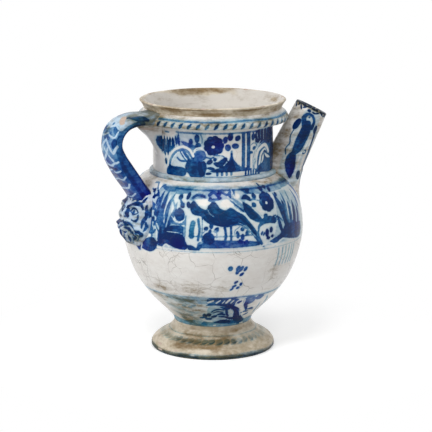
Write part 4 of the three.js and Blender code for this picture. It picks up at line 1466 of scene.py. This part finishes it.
@dataclass
class Spout:
    """The leaning tube and the coil of clay that joins it to the shoulder.

    A point on the spout is given by its radius from the spout's axis, its distance down
    from the tip and its angle round the axis, which is 0 on the outer side.
    """

    tip_x: float = 79.1
    tip_z: float = 191.4
    lean_deg: float = 26.3
    tip_r: float = 13.05
    root_r: float = 16.6
    length: float = 72.0
    bore_r: float = 9.3
    hole_r: float = 6.5
    hole_run: tuple[float, float] = (88.0, 40.0)
    hole_columns: int = 40
    lip_round: float = 1.0
    columns: int = 200
    sink: float = 1.6
    map_r: float = 14.0
    lip_pitch: float = 3.8
    coil_start: float = 44.5
    coil: Outline = field(default_factory=lambda: [(15.9, 46), (16.7, 52), (18.2, 58), (20.6, 64), (24, 70)])

    def place(self, radius: Array, down: Array, angle: Array) -> Array:
        """Points in the jar's frame: the axis leans towards +X by lean_deg from upright."""
        lean = math.radians(self.lean_deg)
        side = radius * np.cos(angle)
        x = self.tip_x + side * math.cos(lean) - down * math.sin(lean)
        z = self.tip_z - side * math.sin(lean) - down * math.cos(lean)
        return np.stack(np.broadcast_arrays(x, radius * np.sin(angle), z), axis=-1)

    def outer_radius(self, down: Array) -> Array:
        """The tube's outer radius: it widens evenly to its root, and its lip is rounded."""
        widening = self.tip_r + (self.root_r - self.tip_r) * down / self.length
        lip = np.clip(1 - down / self.lip_round, 0, 1)
        return widening - self.lip_round * (1 - np.sqrt(1 - lip ** 2))

    def run_to_wall(self, radius: float | Callable[[Array], Array], angle: Array) -> Array:
        """How far down each line of the tube reaches sink deep inside the jar's outer face.

        Args:
            radius: the lines' distance from the axis, or how it follows from the place down.
            angle: the lines' angles round the axis.

        Returns:
            The place down of each line.
        """
        down = np.linspace(20, 84, 641)[:, None]
        widths = radius(down) if callable(radius) else radius
        at = self.place(widths, down, angle[None, :])
        deep = wall_radius(*np.moveaxis(at, -1, 0)) - np.hypot(at[..., 0], at[..., 1]) > self.sink
        return down[np.argmax(deep, axis=0), 0]

    def hole_form(self) -> Piece:
        """The round plug that is cut out of the body for the spout's hole."""
        angle = np.arange(self.hole_columns) * math.tau / self.hole_columns
        rings = [self.place(self.hole_r, down + 0 * angle, angle) for down in self.hole_run]
        return make_object("hole_form", swept(np.stack(rings)))

    def build(self, shop: Workshop) -> None:
        """Makes the tube and the coil."""
        self.build_tube(shop)
        self.build_coil(shop)

    def build_tube(self, shop: Workshop) -> None:
        """The tube: up its outside, round the lip and down its bore, closed at the wall."""
        angle = np.arange(self.columns) * math.tau / self.columns
        stop = self.run_to_wall(self.outer_radius, angle)
        share = np.linspace(1, 0, 84)[:, None]
        lip = np.linspace(1, 0, 7)[:, None] ** 1.5 * self.lip_round
        down = np.vstack((self.lip_round + share * (stop - self.lip_round), (lip + 0 * stop)[1:]))
        outer = self.place(self.outer_radius(down), down, angle)
        bore_stop = self.run_to_wall(self.bore_r, angle)
        flare = np.array([(2.2, 0.0), (1.2, 0.15), (0.5, 0.6), (0.1, 1.5)])
        rings = [self.place(self.bore_r + wide, at + 0 * angle, angle) for wide, at in flare]
        start = flare[-1, 1]
        shares = np.linspace(0, 1, 24)[1:, None]
        bore = self.place(self.bore_r, start + shares * (bore_stop - start), angle)
        grid = np.concatenate((outer, np.stack(rings), bore))
        piece = make_object("rolled_spout", skin(grid, True))
        # The rows of the lip's inner edge are painted as the lip itself.
        downs = np.vstack((down, np.full((len(rings), self.columns), 0.5)))
        shop.hand_over(piece, "spout", PAINTED, self.side_coat(angle, downs), stain=0.2)

    def build_coil(self, shop: Workshop) -> None:
        """The coil: a flare from the tube's side down to the shoulder, thickest at its root."""
        angle = np.arange(self.columns) * math.tau / self.columns
        curve = curve_through(self.coil, 60)

        def flare(down: Array) -> Array:
            """The coil's radius at a place down the tube."""
            return np.interp(down, curve[:, 1], curve[:, 0])

        stop = self.run_to_wall(flare, angle)
        start = np.minimum(self.coil_start, stop - 2)
        share = np.linspace(1, 0, 46)[:, None]
        down = start + share * (stop - start)
        taper = soft_step(down - start, 0, 5)
        tube = self.outer_radius(down) - 0.25
        outer = self.place(tube + (flare(down) - tube) * taper, down, angle)
        inner = self.place(tube[::-6] - 0.5, down[::-6], angle)
        grid = np.concatenate((outer, inner))
        piece = make_object("luting_coil", skin(grid, True))
        shop.hand_over(piece, "spout_luting", PAINTED, self.side_coat(angle, down), stain=0.2)

    def side_coat(self, angle: Array, down: Array) -> tuple[slice, Painting]:
        """The spout's painted side: across as an arc from its outer side, and up as down."""
        across = (angle[None, :] + 0 * down + math.pi) % math.tau - math.pi
        painting = Painting((across * self.map_r).ravel(), down.ravel(), math.tau * self.map_r)
        self.paint(painting)
        return slice(down.size), painting

    def paint(self, p: Painting) -> None:
        """A long leaf with a bird-like head down each side, and dark ragged dabs and stain round the lip,
        running onto its inner edge.
        """
        draw = np.random.default_rng(SEED + 4)
        # Dark ink dabs round the lip; the rows inside the lip take the same paint.
        for place in np.arange(0, p.girth, self.lip_pitch):
            x = place + draw.uniform(-0.8, 0.8)
            w, h, turn = draw.uniform(2.4, 4.4), draw.uniform(1.2, 2.2), draw.uniform(-12, 12)
            p.dabs(INK, 2, (x, 0.6, w, h, turn))
            y, w, h = draw.uniform(1.8, 3.8), draw.uniform(1.8, 4.6), draw.uniform(0.9, 2.2)
            p.dabs(INK, 2, (x + 1.5, y, w, h, draw.uniform(-60, 60)))
        p.patch[STAIN] += 0.18 + 0.5 * (p.up < 2.2) + 0.12 * (np.abs(p.across) > 32)
        for flip in (1, -1):
            b = p.moved(0, flip)
            b.strokes(WASH, 0.13, (16, -21, 8, -21, 24, -21, 40, -18, 56), (5, -10, 18, -8, 36, -4, 60))
            b.strokes(BLUE, 0.8, ((5, 8.2, 8.6, 8.2, 7, 3), -22, 13, -21, 20, -21, 28, -21, 34, -22, 39),
                ((3, 7.2, 8, 6, 1.4), -22, 38, -22, 43, -20, 50, -18, 57), ((4.6, 4, 2.4, 2), -24, 15,
                -27, 10, -25, 6, -21, 6), ((2, 2.4, 3), -21, 6, -18, 9, -17, 15))
            b.strokes(INK, 0.4, ((1.6, 3, 1.6), -22, 15, -20, 24, -21, 33), ((1.4, 2.6, 1), -21, 41, -19, 48,
                -17, 56))
            b.dabs(INK, 1.6, (-30, 17, 4.6, 9.6, 8), (-11, 53, 4.4, 6.6, -14), (-13, 15, 3.4, 6.6, -10))
            b.dabs(BLUE, 0.5, (-30, 17, 5, 10, 8), (-11, 53, 4.8, 7, -14), (-13, 15, 3.8, 7, -10))
            b.strokes(INK, 1.2, (0.7, -30, 22, -30, 28, -28, 33, -29, 38, -27, 42),
                ((2, 1.6, 2.6, 3, 2), -12, 18, -10, 26, -8, 34, -6, 44, -5, 60), (0.8, -16, 33, -13, 33,
                -13, 35, -15, 36, -16, 33))
            b.strokes(BLUE, 0.5, (2, -11, 20, -9, 34, -5, 58))
            b.dabs(INK, 1, (-23, 8, 1.6, 1.6))
            b.lift((0.9, -26, 18, -26, 27, -26, 38, -26, 48), (1, -15, 18, -15, 28, -16, 37, -15, 50))
            b.violet(-18, 50, 7, 9, 1.2)
            b.violet(-11, 52, 4, 5, -1.5)
            b.stains((-36, 48, 9, 10, 0.5), (-28, 60, 5, 4, 0.8))
        p.patch[STAIN] += 0.25 * soft_step(p.up, 56, 66)


@dataclass
class Handle:
    """The strap, the pad of clay under its upper end and the mask under its lower end."""

    deg: float = 201.0
    width: float = 24.8
    thickness: float = 9.6
    thickening: float = 3.8
    steps: int = 300
    around: int = 120
    path: Outline = field(default_factory=lambda: [
        (51.5, 188.2), (60, 188.2), (70.2, 188.1), (80, 185), (86.4, 178.2), (88.5, 169),
        (85.7, 159.9), (80.7, 151.2), (74.8, 142.6), (69.2, 134.2), (64.2, 127.4), (61.7, 124.1),
    ])
    pad_deg: float = 197.0
    pad: Outline = field(default_factory=lambda: [
        (67.5, 184.3), (62.6, 179), (56.2, 173), (51.2, 166), (47.6, 158),
    ])
    pad_half_width: float = 6.5
    pad_sink: float = 1.4
    pad_root: float = 1.2
    mask_z: float = 110.5
    mask_half_height: float = 20.5
    mask_half_deg: float = 18.5
    mask_map_r: float = 71.0
    mask_sink: float = 0.9
    mask_root: float = 2.4

    def build(self, shop: Workshop) -> None:
        """Makes the strap, the pad and the mask."""
        self.build_strap(shop)
        self.build_pad(shop)
        self.build_mask(shop)

    def turn_to_handle(self, points: Array, deg: float) -> Array:
        """Points drawn in the X-Z plane, turned about the jar's axis to the handle's side."""
        c, s = math.cos(math.radians(deg)), math.sin(math.radians(deg))
        x, y, z = np.moveaxis(points, -1, 0)
        return np.stack((x * c - y * s, x * s + y * c, z), axis=-1)

    def build_strap(self, shop: Workshop) -> None:
        """The strap: a flat oval section carried along the bend, with two faint grooves.

        The section is a superellipse |x/a|^4.4 + |y/b|^3.2 = 1, and its outer face dips by a
        fraction of a millimetre beside each edge, as a wet finger leaves it.
        """
        line = curve_through(self.path, self.steps)
        at = np.linspace(0, 1, self.steps)[:, None]
        turn = np.arange(self.around) * math.tau / self.around
        side = np.sign(np.cos(turn)) * np.abs(np.cos(turn)) ** (2 / 4.4)
        face = np.sign(np.sin(turn)) * np.abs(np.sin(turn)) ** (2 / 3.2)
        flare = 1 + 0.1 * (2 * at - 1) ** 6
        x = side * self.width / 2 * flare
        groove = 0.35 * np.exp(-((np.abs(side) - 0.66) / 0.16) ** 2) * (face > 0)
        thickness = self.thickness + self.thickening * soft_step(at, 0.4, 0.7)
        y = (face * thickness / 2 - groove) * flare
        dent = 0.25 * np.sin(at * 31) * np.sin(2 * side + 1) + 0.2 * np.sin(at * 17 + 2)
        y = y + dent * (face > 0)
        outward = square_to(line)
        r = line[:, :1] + outward[:, :1] * y
        z = line[:, 1:] + outward[:, 1:] * y
        sections = np.stack((r, x + 0 * r, z), axis=-1)
        piece = make_object("pulled_strap", swept(self.turn_to_handle(sections, self.deg)))
        run = np.concatenate(([0], np.cumsum(np.linalg.norm(np.diff(line, axis=0), axis=1))))
        across = self.section_arc(side * self.width / 2, face * self.thickness / 2)
        painting = Painting(np.tile(across, self.steps), np.repeat(run, self.around))
        self.paint_strap(painting)
        shop.hand_over(piece, "handle", DEEP, (slice(sections[..., 0].size), painting), stain=0.1)

    def section_arc(self, x: Array, y: Array) -> Array:
        """Each section point's arc from the middle of the outer face, positive over the front edge."""
        pace = np.hypot(np.diff(x, append=x[:1]), np.diff(y, append=y[:1]))
        arc = np.cumsum(pace) - pace
        girth = pace.sum()
        return (arc[self.around // 4] - arc + girth / 2) % girth - girth / 2

    def build_pad(self, shop: Workshop) -> None:
        """The pad: a bulge on the neck that runs out under the strap, widest at the top.

        Its height over the neck is the outline's, times (1 - |v|^2.4)^(1/2) across.
        """
        outline = curve_through(self.pad, 60)[::-1]
        v = np.linspace(-1, 1, 41)
        half = self.pad_half_width * (0.82 + 0.3 * np.linspace(0, 1, 60)[:, None] ** 2)
        r_out = outline[:, :1]
        base = NECK_R - self.pad_sink
        bulge = (1 - np.abs(v) ** 2.4) ** 0.5
        r = base + (r_out - base) * bulge
        front = np.stack((r, v * half * 1.12, outline[:, 1:] + 0 * v), axis=-1)
        back = np.stack((0 * r + base - self.pad_root, v * half * 1.1, outline[:, 1:] + 0 * v), axis=-1)
        shell = slab(front, back)
        shell.points = self.turn_to_handle(shell.points, self.pad_deg)
        piece = make_object("luting_pad", shell)
        painting = drum(points_of(piece), NECK_R)
        Neck().hedge(painting)
        painting.stains((-60, 181, 12, 3, 0.8))
        painting.smudge(WEAR, -56.5, 180, 4, 1.2, 1.1)
        shop.hand_over(piece, "handle_luting", PAINTED, (EVERYWHERE, painting), stain=0.08)

    def relief(self, u: Array, v: Array) -> Array:
        """Height of the mask over the wall, in mm.

        A low dome, (1 - u^4)(1 - 0.8 v^4), carries the features as humps, exp(-(d / width)^2)
        of the distance d to a point or to a curved line.
        """
        def hump(a0: float, b0: float, da: float, db: float) -> Array:
            """A hump at side a0 and height b0, da and db wide."""
            return np.exp(-(((side - a0) / da) ** 2) - ((v - b0) / db) ** 2)

        def ridge(course: Array, width: float, start: float, end: float) -> Array:
            """A ridge at the height of a course, between two places of the side."""
            window = soft_step(side, start, start + 0.08) * soft_step(-side, -end, -end + 0.12)
            return window * np.exp(-((v - course) / width) ** 2)

        side = np.abs(u)
        dome = 5.2 * (1 - u ** 4) * (1 - 0.8 * v ** 4)
        brows = 2.5 * ridge(0.5 + 0.45 * side - 0.5 * side ** 2, 0.085, 0.02, 0.66)
        eyes = 1.9 * hump(0.34, 0.34, 0.09, 0.07) - 1.9 * hump(0.34, 0.35, 0.19, 0.12)
        nose = 4.2 * hump(0, 0.2, 0.14, 0.19) + 2.0 * hump(0, 0.46, 0.1, 0.2)
        nose = nose + 1.4 * hump(0.16, 0.12, 0.08, 0.07)
        cheeks = 1.9 * hump(0.52, 0.14, 0.2, 0.12)
        moustache = 2.4 * ridge(-0.03 - 0.08 * side - 0.4 * side ** 2, 0.075, 0.0, 0.74)
        mouth = -2.6 * hump(0, -0.17, 0.22, 0.055)
        chin = 3.2 * hump(0, -0.34, 0.24, 0.12)
        locks = 2.0 * hump(0, -0.74, 0.14, 0.2) + 1.9 * hump(0.32, -0.56, 0.12, 0.2)
        locks = locks + 1.5 * hump(0.62, -0.4, 0.12, 0.16)
        strands = 0.4 * np.sin(38 * side + 9 * v) * soft_step(-v, 0.28, 0.45)
        crown = 1.5 * np.abs(np.cos(7.5 * u)) ** 0.7 * soft_step(v, 0.7, 0.8)
        scrolls = 2.2 * (hump(0.84, 0.46, 0.1, 0.12) + hump(0.82, 0.04, 0.1, 0.13))
        scrolls = scrolls - 1.6 * (hump(0.84, 0.46, 0.04, 0.05) + hump(0.82, 0.04, 0.04, 0.055))
        face = dome + brows + eyes + nose + cheeks + moustache + mouth + chin
        return 1.4 + face + locks + strands + crown + scrolls

    def build_mask(self, shop: Workshop) -> None:
        """The mask: a relief laid on the wall, wide at the brows and pointed at the beard."""
        v = np.linspace(-1, 1, 120)[:, None]
        u = np.linspace(-1, 1, 121)[None, :]
        share = np.where(v > 0, 1 - 0.3 * np.abs(v) ** 3, 1 - 0.62 * np.abs(v) ** 2.2)
        angle = math.radians(self.deg) + u * share * math.radians(self.mask_half_deg)
        z = self.mask_z + v * self.mask_half_height + 0 * u
        wall = jar_radius(z) + hand_thrown(angle, z)
        rim = np.minimum(1, np.minimum((1 - np.abs(u)) / 0.05, (1 - np.abs(v)) / 0.05)) ** 0.5
        r = wall - self.mask_sink + (self.relief(u, v) + self.mask_sink) * rim
        front = np.stack((r * np.cos(angle), r * np.sin(angle), z), axis=-1)
        deep = wall - self.mask_root
        back = np.stack((deep * np.cos(angle), deep * np.sin(angle), z), axis=-1)
        piece = make_object("pressed_mask", slab(front, back))
        mm_across = u * share * math.radians(self.mask_half_deg) * self.mask_map_r + 0 * z
        painting = Painting(mm_across.ravel(), (z - self.mask_z).ravel())
        self.paint_mask(painting)
        shop.hand_over(piece, "mask", DEEP, (slice(z.size), painting), stain=0.4)

    def paint_strap(self, p: Painting) -> None:
        """Blue all over, dark along both edges, with white chevrons and waves on the outer face.

        The upper arm is worn: grey washes, a chip in the bend and a yellowed place beside it.
        """
        p.band(WASH, -5, 36, 0.16, 1.0)
        p.band(WASH, 34, 108, 0.3, 1.0)
        p.band(BLUE, 36, 108, 0.6, 1.6)
        p.load[BLUE] -= 0.26 * soft_step(p.up, 58, 50)
        p.patch[STAIN] += 0.34 * soft_step(p.up, 40, 24)
        p.patch[VIOLET] += 0.9 * soft_step(p.up, 52, 62)
        for side in (1, -1):
            b = p.moved(0, side)
            b.strokes(BLUE, 0.5, (8, 19, 18, 19, 28, 18, 40))
            b.strokes(BLUE, 0.66, (8.5, 18, 42, 18, 60, 18, 106))
            b.strokes(INK, 0.6, (3.2, 20, 17, 19, 24, 19, 38), (2.4, 19, 38, 20, 60, 19, 104))
            b.strokes(BLUE, 0.5, (7, 26, 18, 26, 60, 26, 104))
            b.strokes(BLUE, 0.56, ((1.6, 4.4, 5.6, 4, 2), 7, 26, 11, 22, 13, 17, 15, 12))
            b.dabs(BLUE, 0.66, (9, 36, 7, 4, 20), (2, 41, 6, 4))
            b.dabs(INK, 0.8, (-1, 33, 3, 2.8), (11, 45, 5, 6.4, 20), (3, 63, 12, 2.6))
            b.dabs(INK, 0.3, (4, 69, 13, 3), (4, 77, 13, 4), (4, 86, 12, 4), (4, 95, 12, 4))
            b.strokes(INK, 0.36, (2.2, 14, 60, 14, 80, 14, 100))
            b.lift((1.5, 1, 32, 7, 34, 12, 35, 14, 30), (1.4, -1, 39, 5, 41, 11, 41, 12, 37), (2.2, -1, 43,
                5, 47, 10, 51, 14, 47), (2.4, -3, 49, 3, 54, 7, 57))
        p.lift((1.7, -13, 59, -8, 57, -5, 60, 2, 61, 7, 59, 12, 58), (1.5, -13, 66, -6, 66, -1, 64, 5, 66,
            11, 65), (1.6, -12, 72, -5, 74, 2, 72, 8, 73, 12, 71), (1.9, -12, 80, -5, 83, 2, 82, 8, 81,
            11, 78), (1.5, -12, 89, -4, 91, 4, 90, 11, 87))
        p.band(WASH, 26, 108, 0.1, 1.0)
        p.violet(8, 24, 14, 16, -1.2)
        p.chips(*((x, run, 3.6, 1.7) for x, run in ((4, 26.6), (6.6, 28.8), (9.2, 30.8))))
        p.patch[STAIN] += 0.4 * soft_step(p.up, 22, 10)
        p.stains((-3, 37.4, 5, 3, 0.9), (14, 20, 9, 14, 0.3), (8, 42, 30, 4, 0.2))

    def paint_mask(self, p: Painting) -> None:
        """Dark brows, eyes, moustache and locks of beard, with leaves and scrolls beside them; the lines
        beside the nose also paint shade on its sides, and a white line along the moustache is a painted
        highlight.
        """
        p.band(WASH, -22, 12, 0.06, 0.8)
        for side in (1, -1):
            b = p.moved(0, side)
            # Brows, eyelids, lines beside the nose that also paint shade on its sides, and a cheek swirl.
            b.strokes(BLUE, 0.86, ((1.2, 2.8, 1.4), 1.4, 9.6, 6.4, 13, 12.6, 13.4, 17.6, 10.4),
                ((1, 1.8, 1), 4, 7, 6, 9, 9.4, 9.6, 13, 7), ((0.7, 1, 0.7), 4.4, 6.6, 8, 5, 12.4, 6.4),
                ((1, 2, 1.4), 2.4, 10, 2.6, 5.4, 4.4, 3), ((1, 1.8, 1), 8, 1, 12.4, 0.6, 15, 3, 14, 5.4))
            b.strokes(BLUE, 0.84, ((1.4, 3.4, 1.2), 1, -1.4, 7, -2.4, 12, -5, 16.4, -9.4),
                ((1, 2.2, 1), 2, -5.6, 7, -6.6, 11, -9.4), ((1, 2.2, 2.6, 1), 18.4, 13, 20.6, 8, 19.6, 2,
                17.6, -4))
            b.leaves(BLUE, 0.84, (2.8, 5.4, -9.4, 6, -13.4, 4, -18), (2.8, 10.6, -7.6, 12, -11.4, 10, -15),
                (2.6, 15, -6, 17, -9, 15.4, -12), (3.2, 1.6, 14.4, 3, 17.4, 2.6, 20.4), (3, 7, 15, 9.4, 17,
                10.6, 20), (2.6, 13, 14.4, 15, 16, 16, 18.6), (2, 21.4, 12, 22.6, 8, 22, 4), (2, 21, 1,
                21, -3, 18.6, -7))
            b.dabs(INK, 1, (8, 7, 2.6, 2.6), (2.6, 3, 1.8, 1.4))
            b.strokes(INK, 0.7, ((0.8, 1.6, 0.8), 2, 10, 6.6, 12.6, 12, 13), (0.9, 8.4, -8.6, 9.6, -13,
                7.4, -17.4), (0.9, 13.4, -8, 14.6, -12, 12.4, -15.4))
            # Painted highlight: a white line lifted along the moustache ridge.
            b.lift((0.8, 3, -3.6, 8.4, -4.6, 13.4, -8))
            b.stains((10, -14, 8, 5, 0.5))
        p.strokes(INK, 1.1, ((1, 2, 1), -5, -3.4, 0, -4, 5, -3.4))
        p.strokes(BLUE, 0.8, ((0.8, 1.6, 0.8), -4, -9, 0, -10, 4, -9), ((1, 3, 1), 0, -11.6, -0.4, -16,
            0, -20))
        p.stains((-16, 8, 8, 6, 0.4))
        p.chips((-21, 1, 3.4, 3))


@dataclass
class Studio:
    """Pale floor, soft lamps, white surroundings and the camera of the photograph.

    Attributes:
        distance: of the camera from the jar's axis, along the floor.
        height: of the camera over the floor.
        pitch_deg: how far it looks down.
        azimuth_deg: its side of the jar, from the front towards the spout.
        shift: the picture's sideways shift, as a share of its width.
    """

    distance: float = 1400.0
    height: float = 405.82
    pitch_deg: float = 12.131
    azimuth_deg: float = -8.0
    lens: float = 150.0
    shift: float = 3.1 / 432

    def build(self) -> None:
        """Sets up camera, floor, surroundings and lamps."""
        self.place_camera()
        self.lay_floor()
        self.set_surroundings()
        self.hang_lamps()
        bpy.context.scene.view_settings.view_transform = "Standard"

    def place_camera(self) -> None:
        """The camera, level from side to side."""
        data = bpy.data.cameras.new("camera")
        data.lens, data.sensor_width, data.shift_x = self.lens, 36.0, self.shift
        data.clip_end = 50.0
        camera = bpy.data.objects.new("camera", data)
        turn = math.radians(self.azimuth_deg)
        camera.location = (self.distance * MM * math.sin(turn), -self.distance * MM * math.cos(turn),
                           self.height * MM)
        camera.rotation_euler = (math.radians(90 - self.pitch_deg), 0, turn)
        bpy.context.scene.collection.objects.link(camera)
        bpy.context.scene.camera = camera

    def background_share(self, board: NodeBoard) -> Signal:
        """1 for rays that show the background: from the camera, a reflection or through glass."""
        path = board.add("ShaderNodeLightPath").outputs
        share = board.math("MAXIMUM", path["Is Camera Ray"], path["Is Glossy Ray"])
        return board.math("MAXIMUM", share, path["Is Transmission Ray"])

    def lay_floor(self) -> None:
        """A pale floor that keeps the shadow near the jar and is white further out."""
        half = 6000.0
        corners = np.array([(-half, -half, 0), (half, -half, 0), (half, half, 0), (-half, half, 0)])
        floor = make_object("floor", Shell(corners, np.array([[0, 1, 2, 3]])))
        material = bpy.data.materials.new("pale_floor")
        board = NodeBoard(material)
        lit = board.out("ShaderNodeBsdfDiffuse", {"Color": (0.8, 0.8, 0.8, 1)})
        share = self.background_share(board)
        lift = board.out("ShaderNodeEmission", {"Strength": share * 0.36})
        near = board.out("ShaderNodeAddShader", {0: lit, 1: lift})
        white = board.out("ShaderNodeEmission", {"Strength": share})
        reach = board.out("ShaderNodeVectorMath", {0: board.place}, "Value", operation="LENGTH")
        away = reach.step(0.08, 0.2) * share
        surface = board.out("ShaderNodeMixShader", {0: away, 1: near, 2: white})
        board.add("ShaderNodeOutputMaterial", {"Surface": surface})
        floor.data.materials.append(material)

    def set_surroundings(self) -> None:
        """White to the eye, and a soft even light on the jar."""
        world = bpy.data.worlds.new("surroundings")
        bpy.context.scene.world = world
        board = NodeBoard(world)
        strength = self.background_share(board) * 0.54 + 0.46
        light = board.out("ShaderNodeBackground", {"Color": (1, 1, 1, 1), "Strength": strength})
        board.add("ShaderNodeOutputWorld", {"Surface": light})

    def hang_lamps(self) -> None:
        """Two small soft boxes high in front, a large one at the left and one behind."""
        for name, place, size, watts in (
            ("front_left", (-0.39, -0.84, 1.28), 0.34, 5.0),
            ("front_right", (0.19, -0.97, 1.23), 0.34, 3.6),
            ("left", (-1.2, -0.6, 0.9), 0.9, 9.5),
            ("back", (0.4, 1.3, 1.1), 0.9, 5.0),
        ):
            data = bpy.data.lights.new(name, "AREA")
            data.shape, data.size, data.energy = "DISK", size, watts
            lamp = bpy.data.objects.new(name, data)
            lamp.location = place
            aim = np.array((0, 0, 0.1)) - np.array(place)
            flat = math.hypot(aim[0], aim[1])
            lamp.rotation_euler = (math.atan2(flat, -aim[2]), 0, math.atan2(aim[1], aim[0]) - math.pi / 2)
            bpy.context.scene.collection.objects.link(lamp)


def main() -> None:
    """Sets up the studio and builds the jar from the foot up."""
    logging.basicConfig(level=logging.INFO, format="%(name)s: %(message)s")
    Studio().build()
    shop = Workshop()
    for part in (Foot(), Vessel(), Neck(), Mouth(), Spout(), Handle()):
        part.build(shop)


if __name__ == "__main__":
    main()
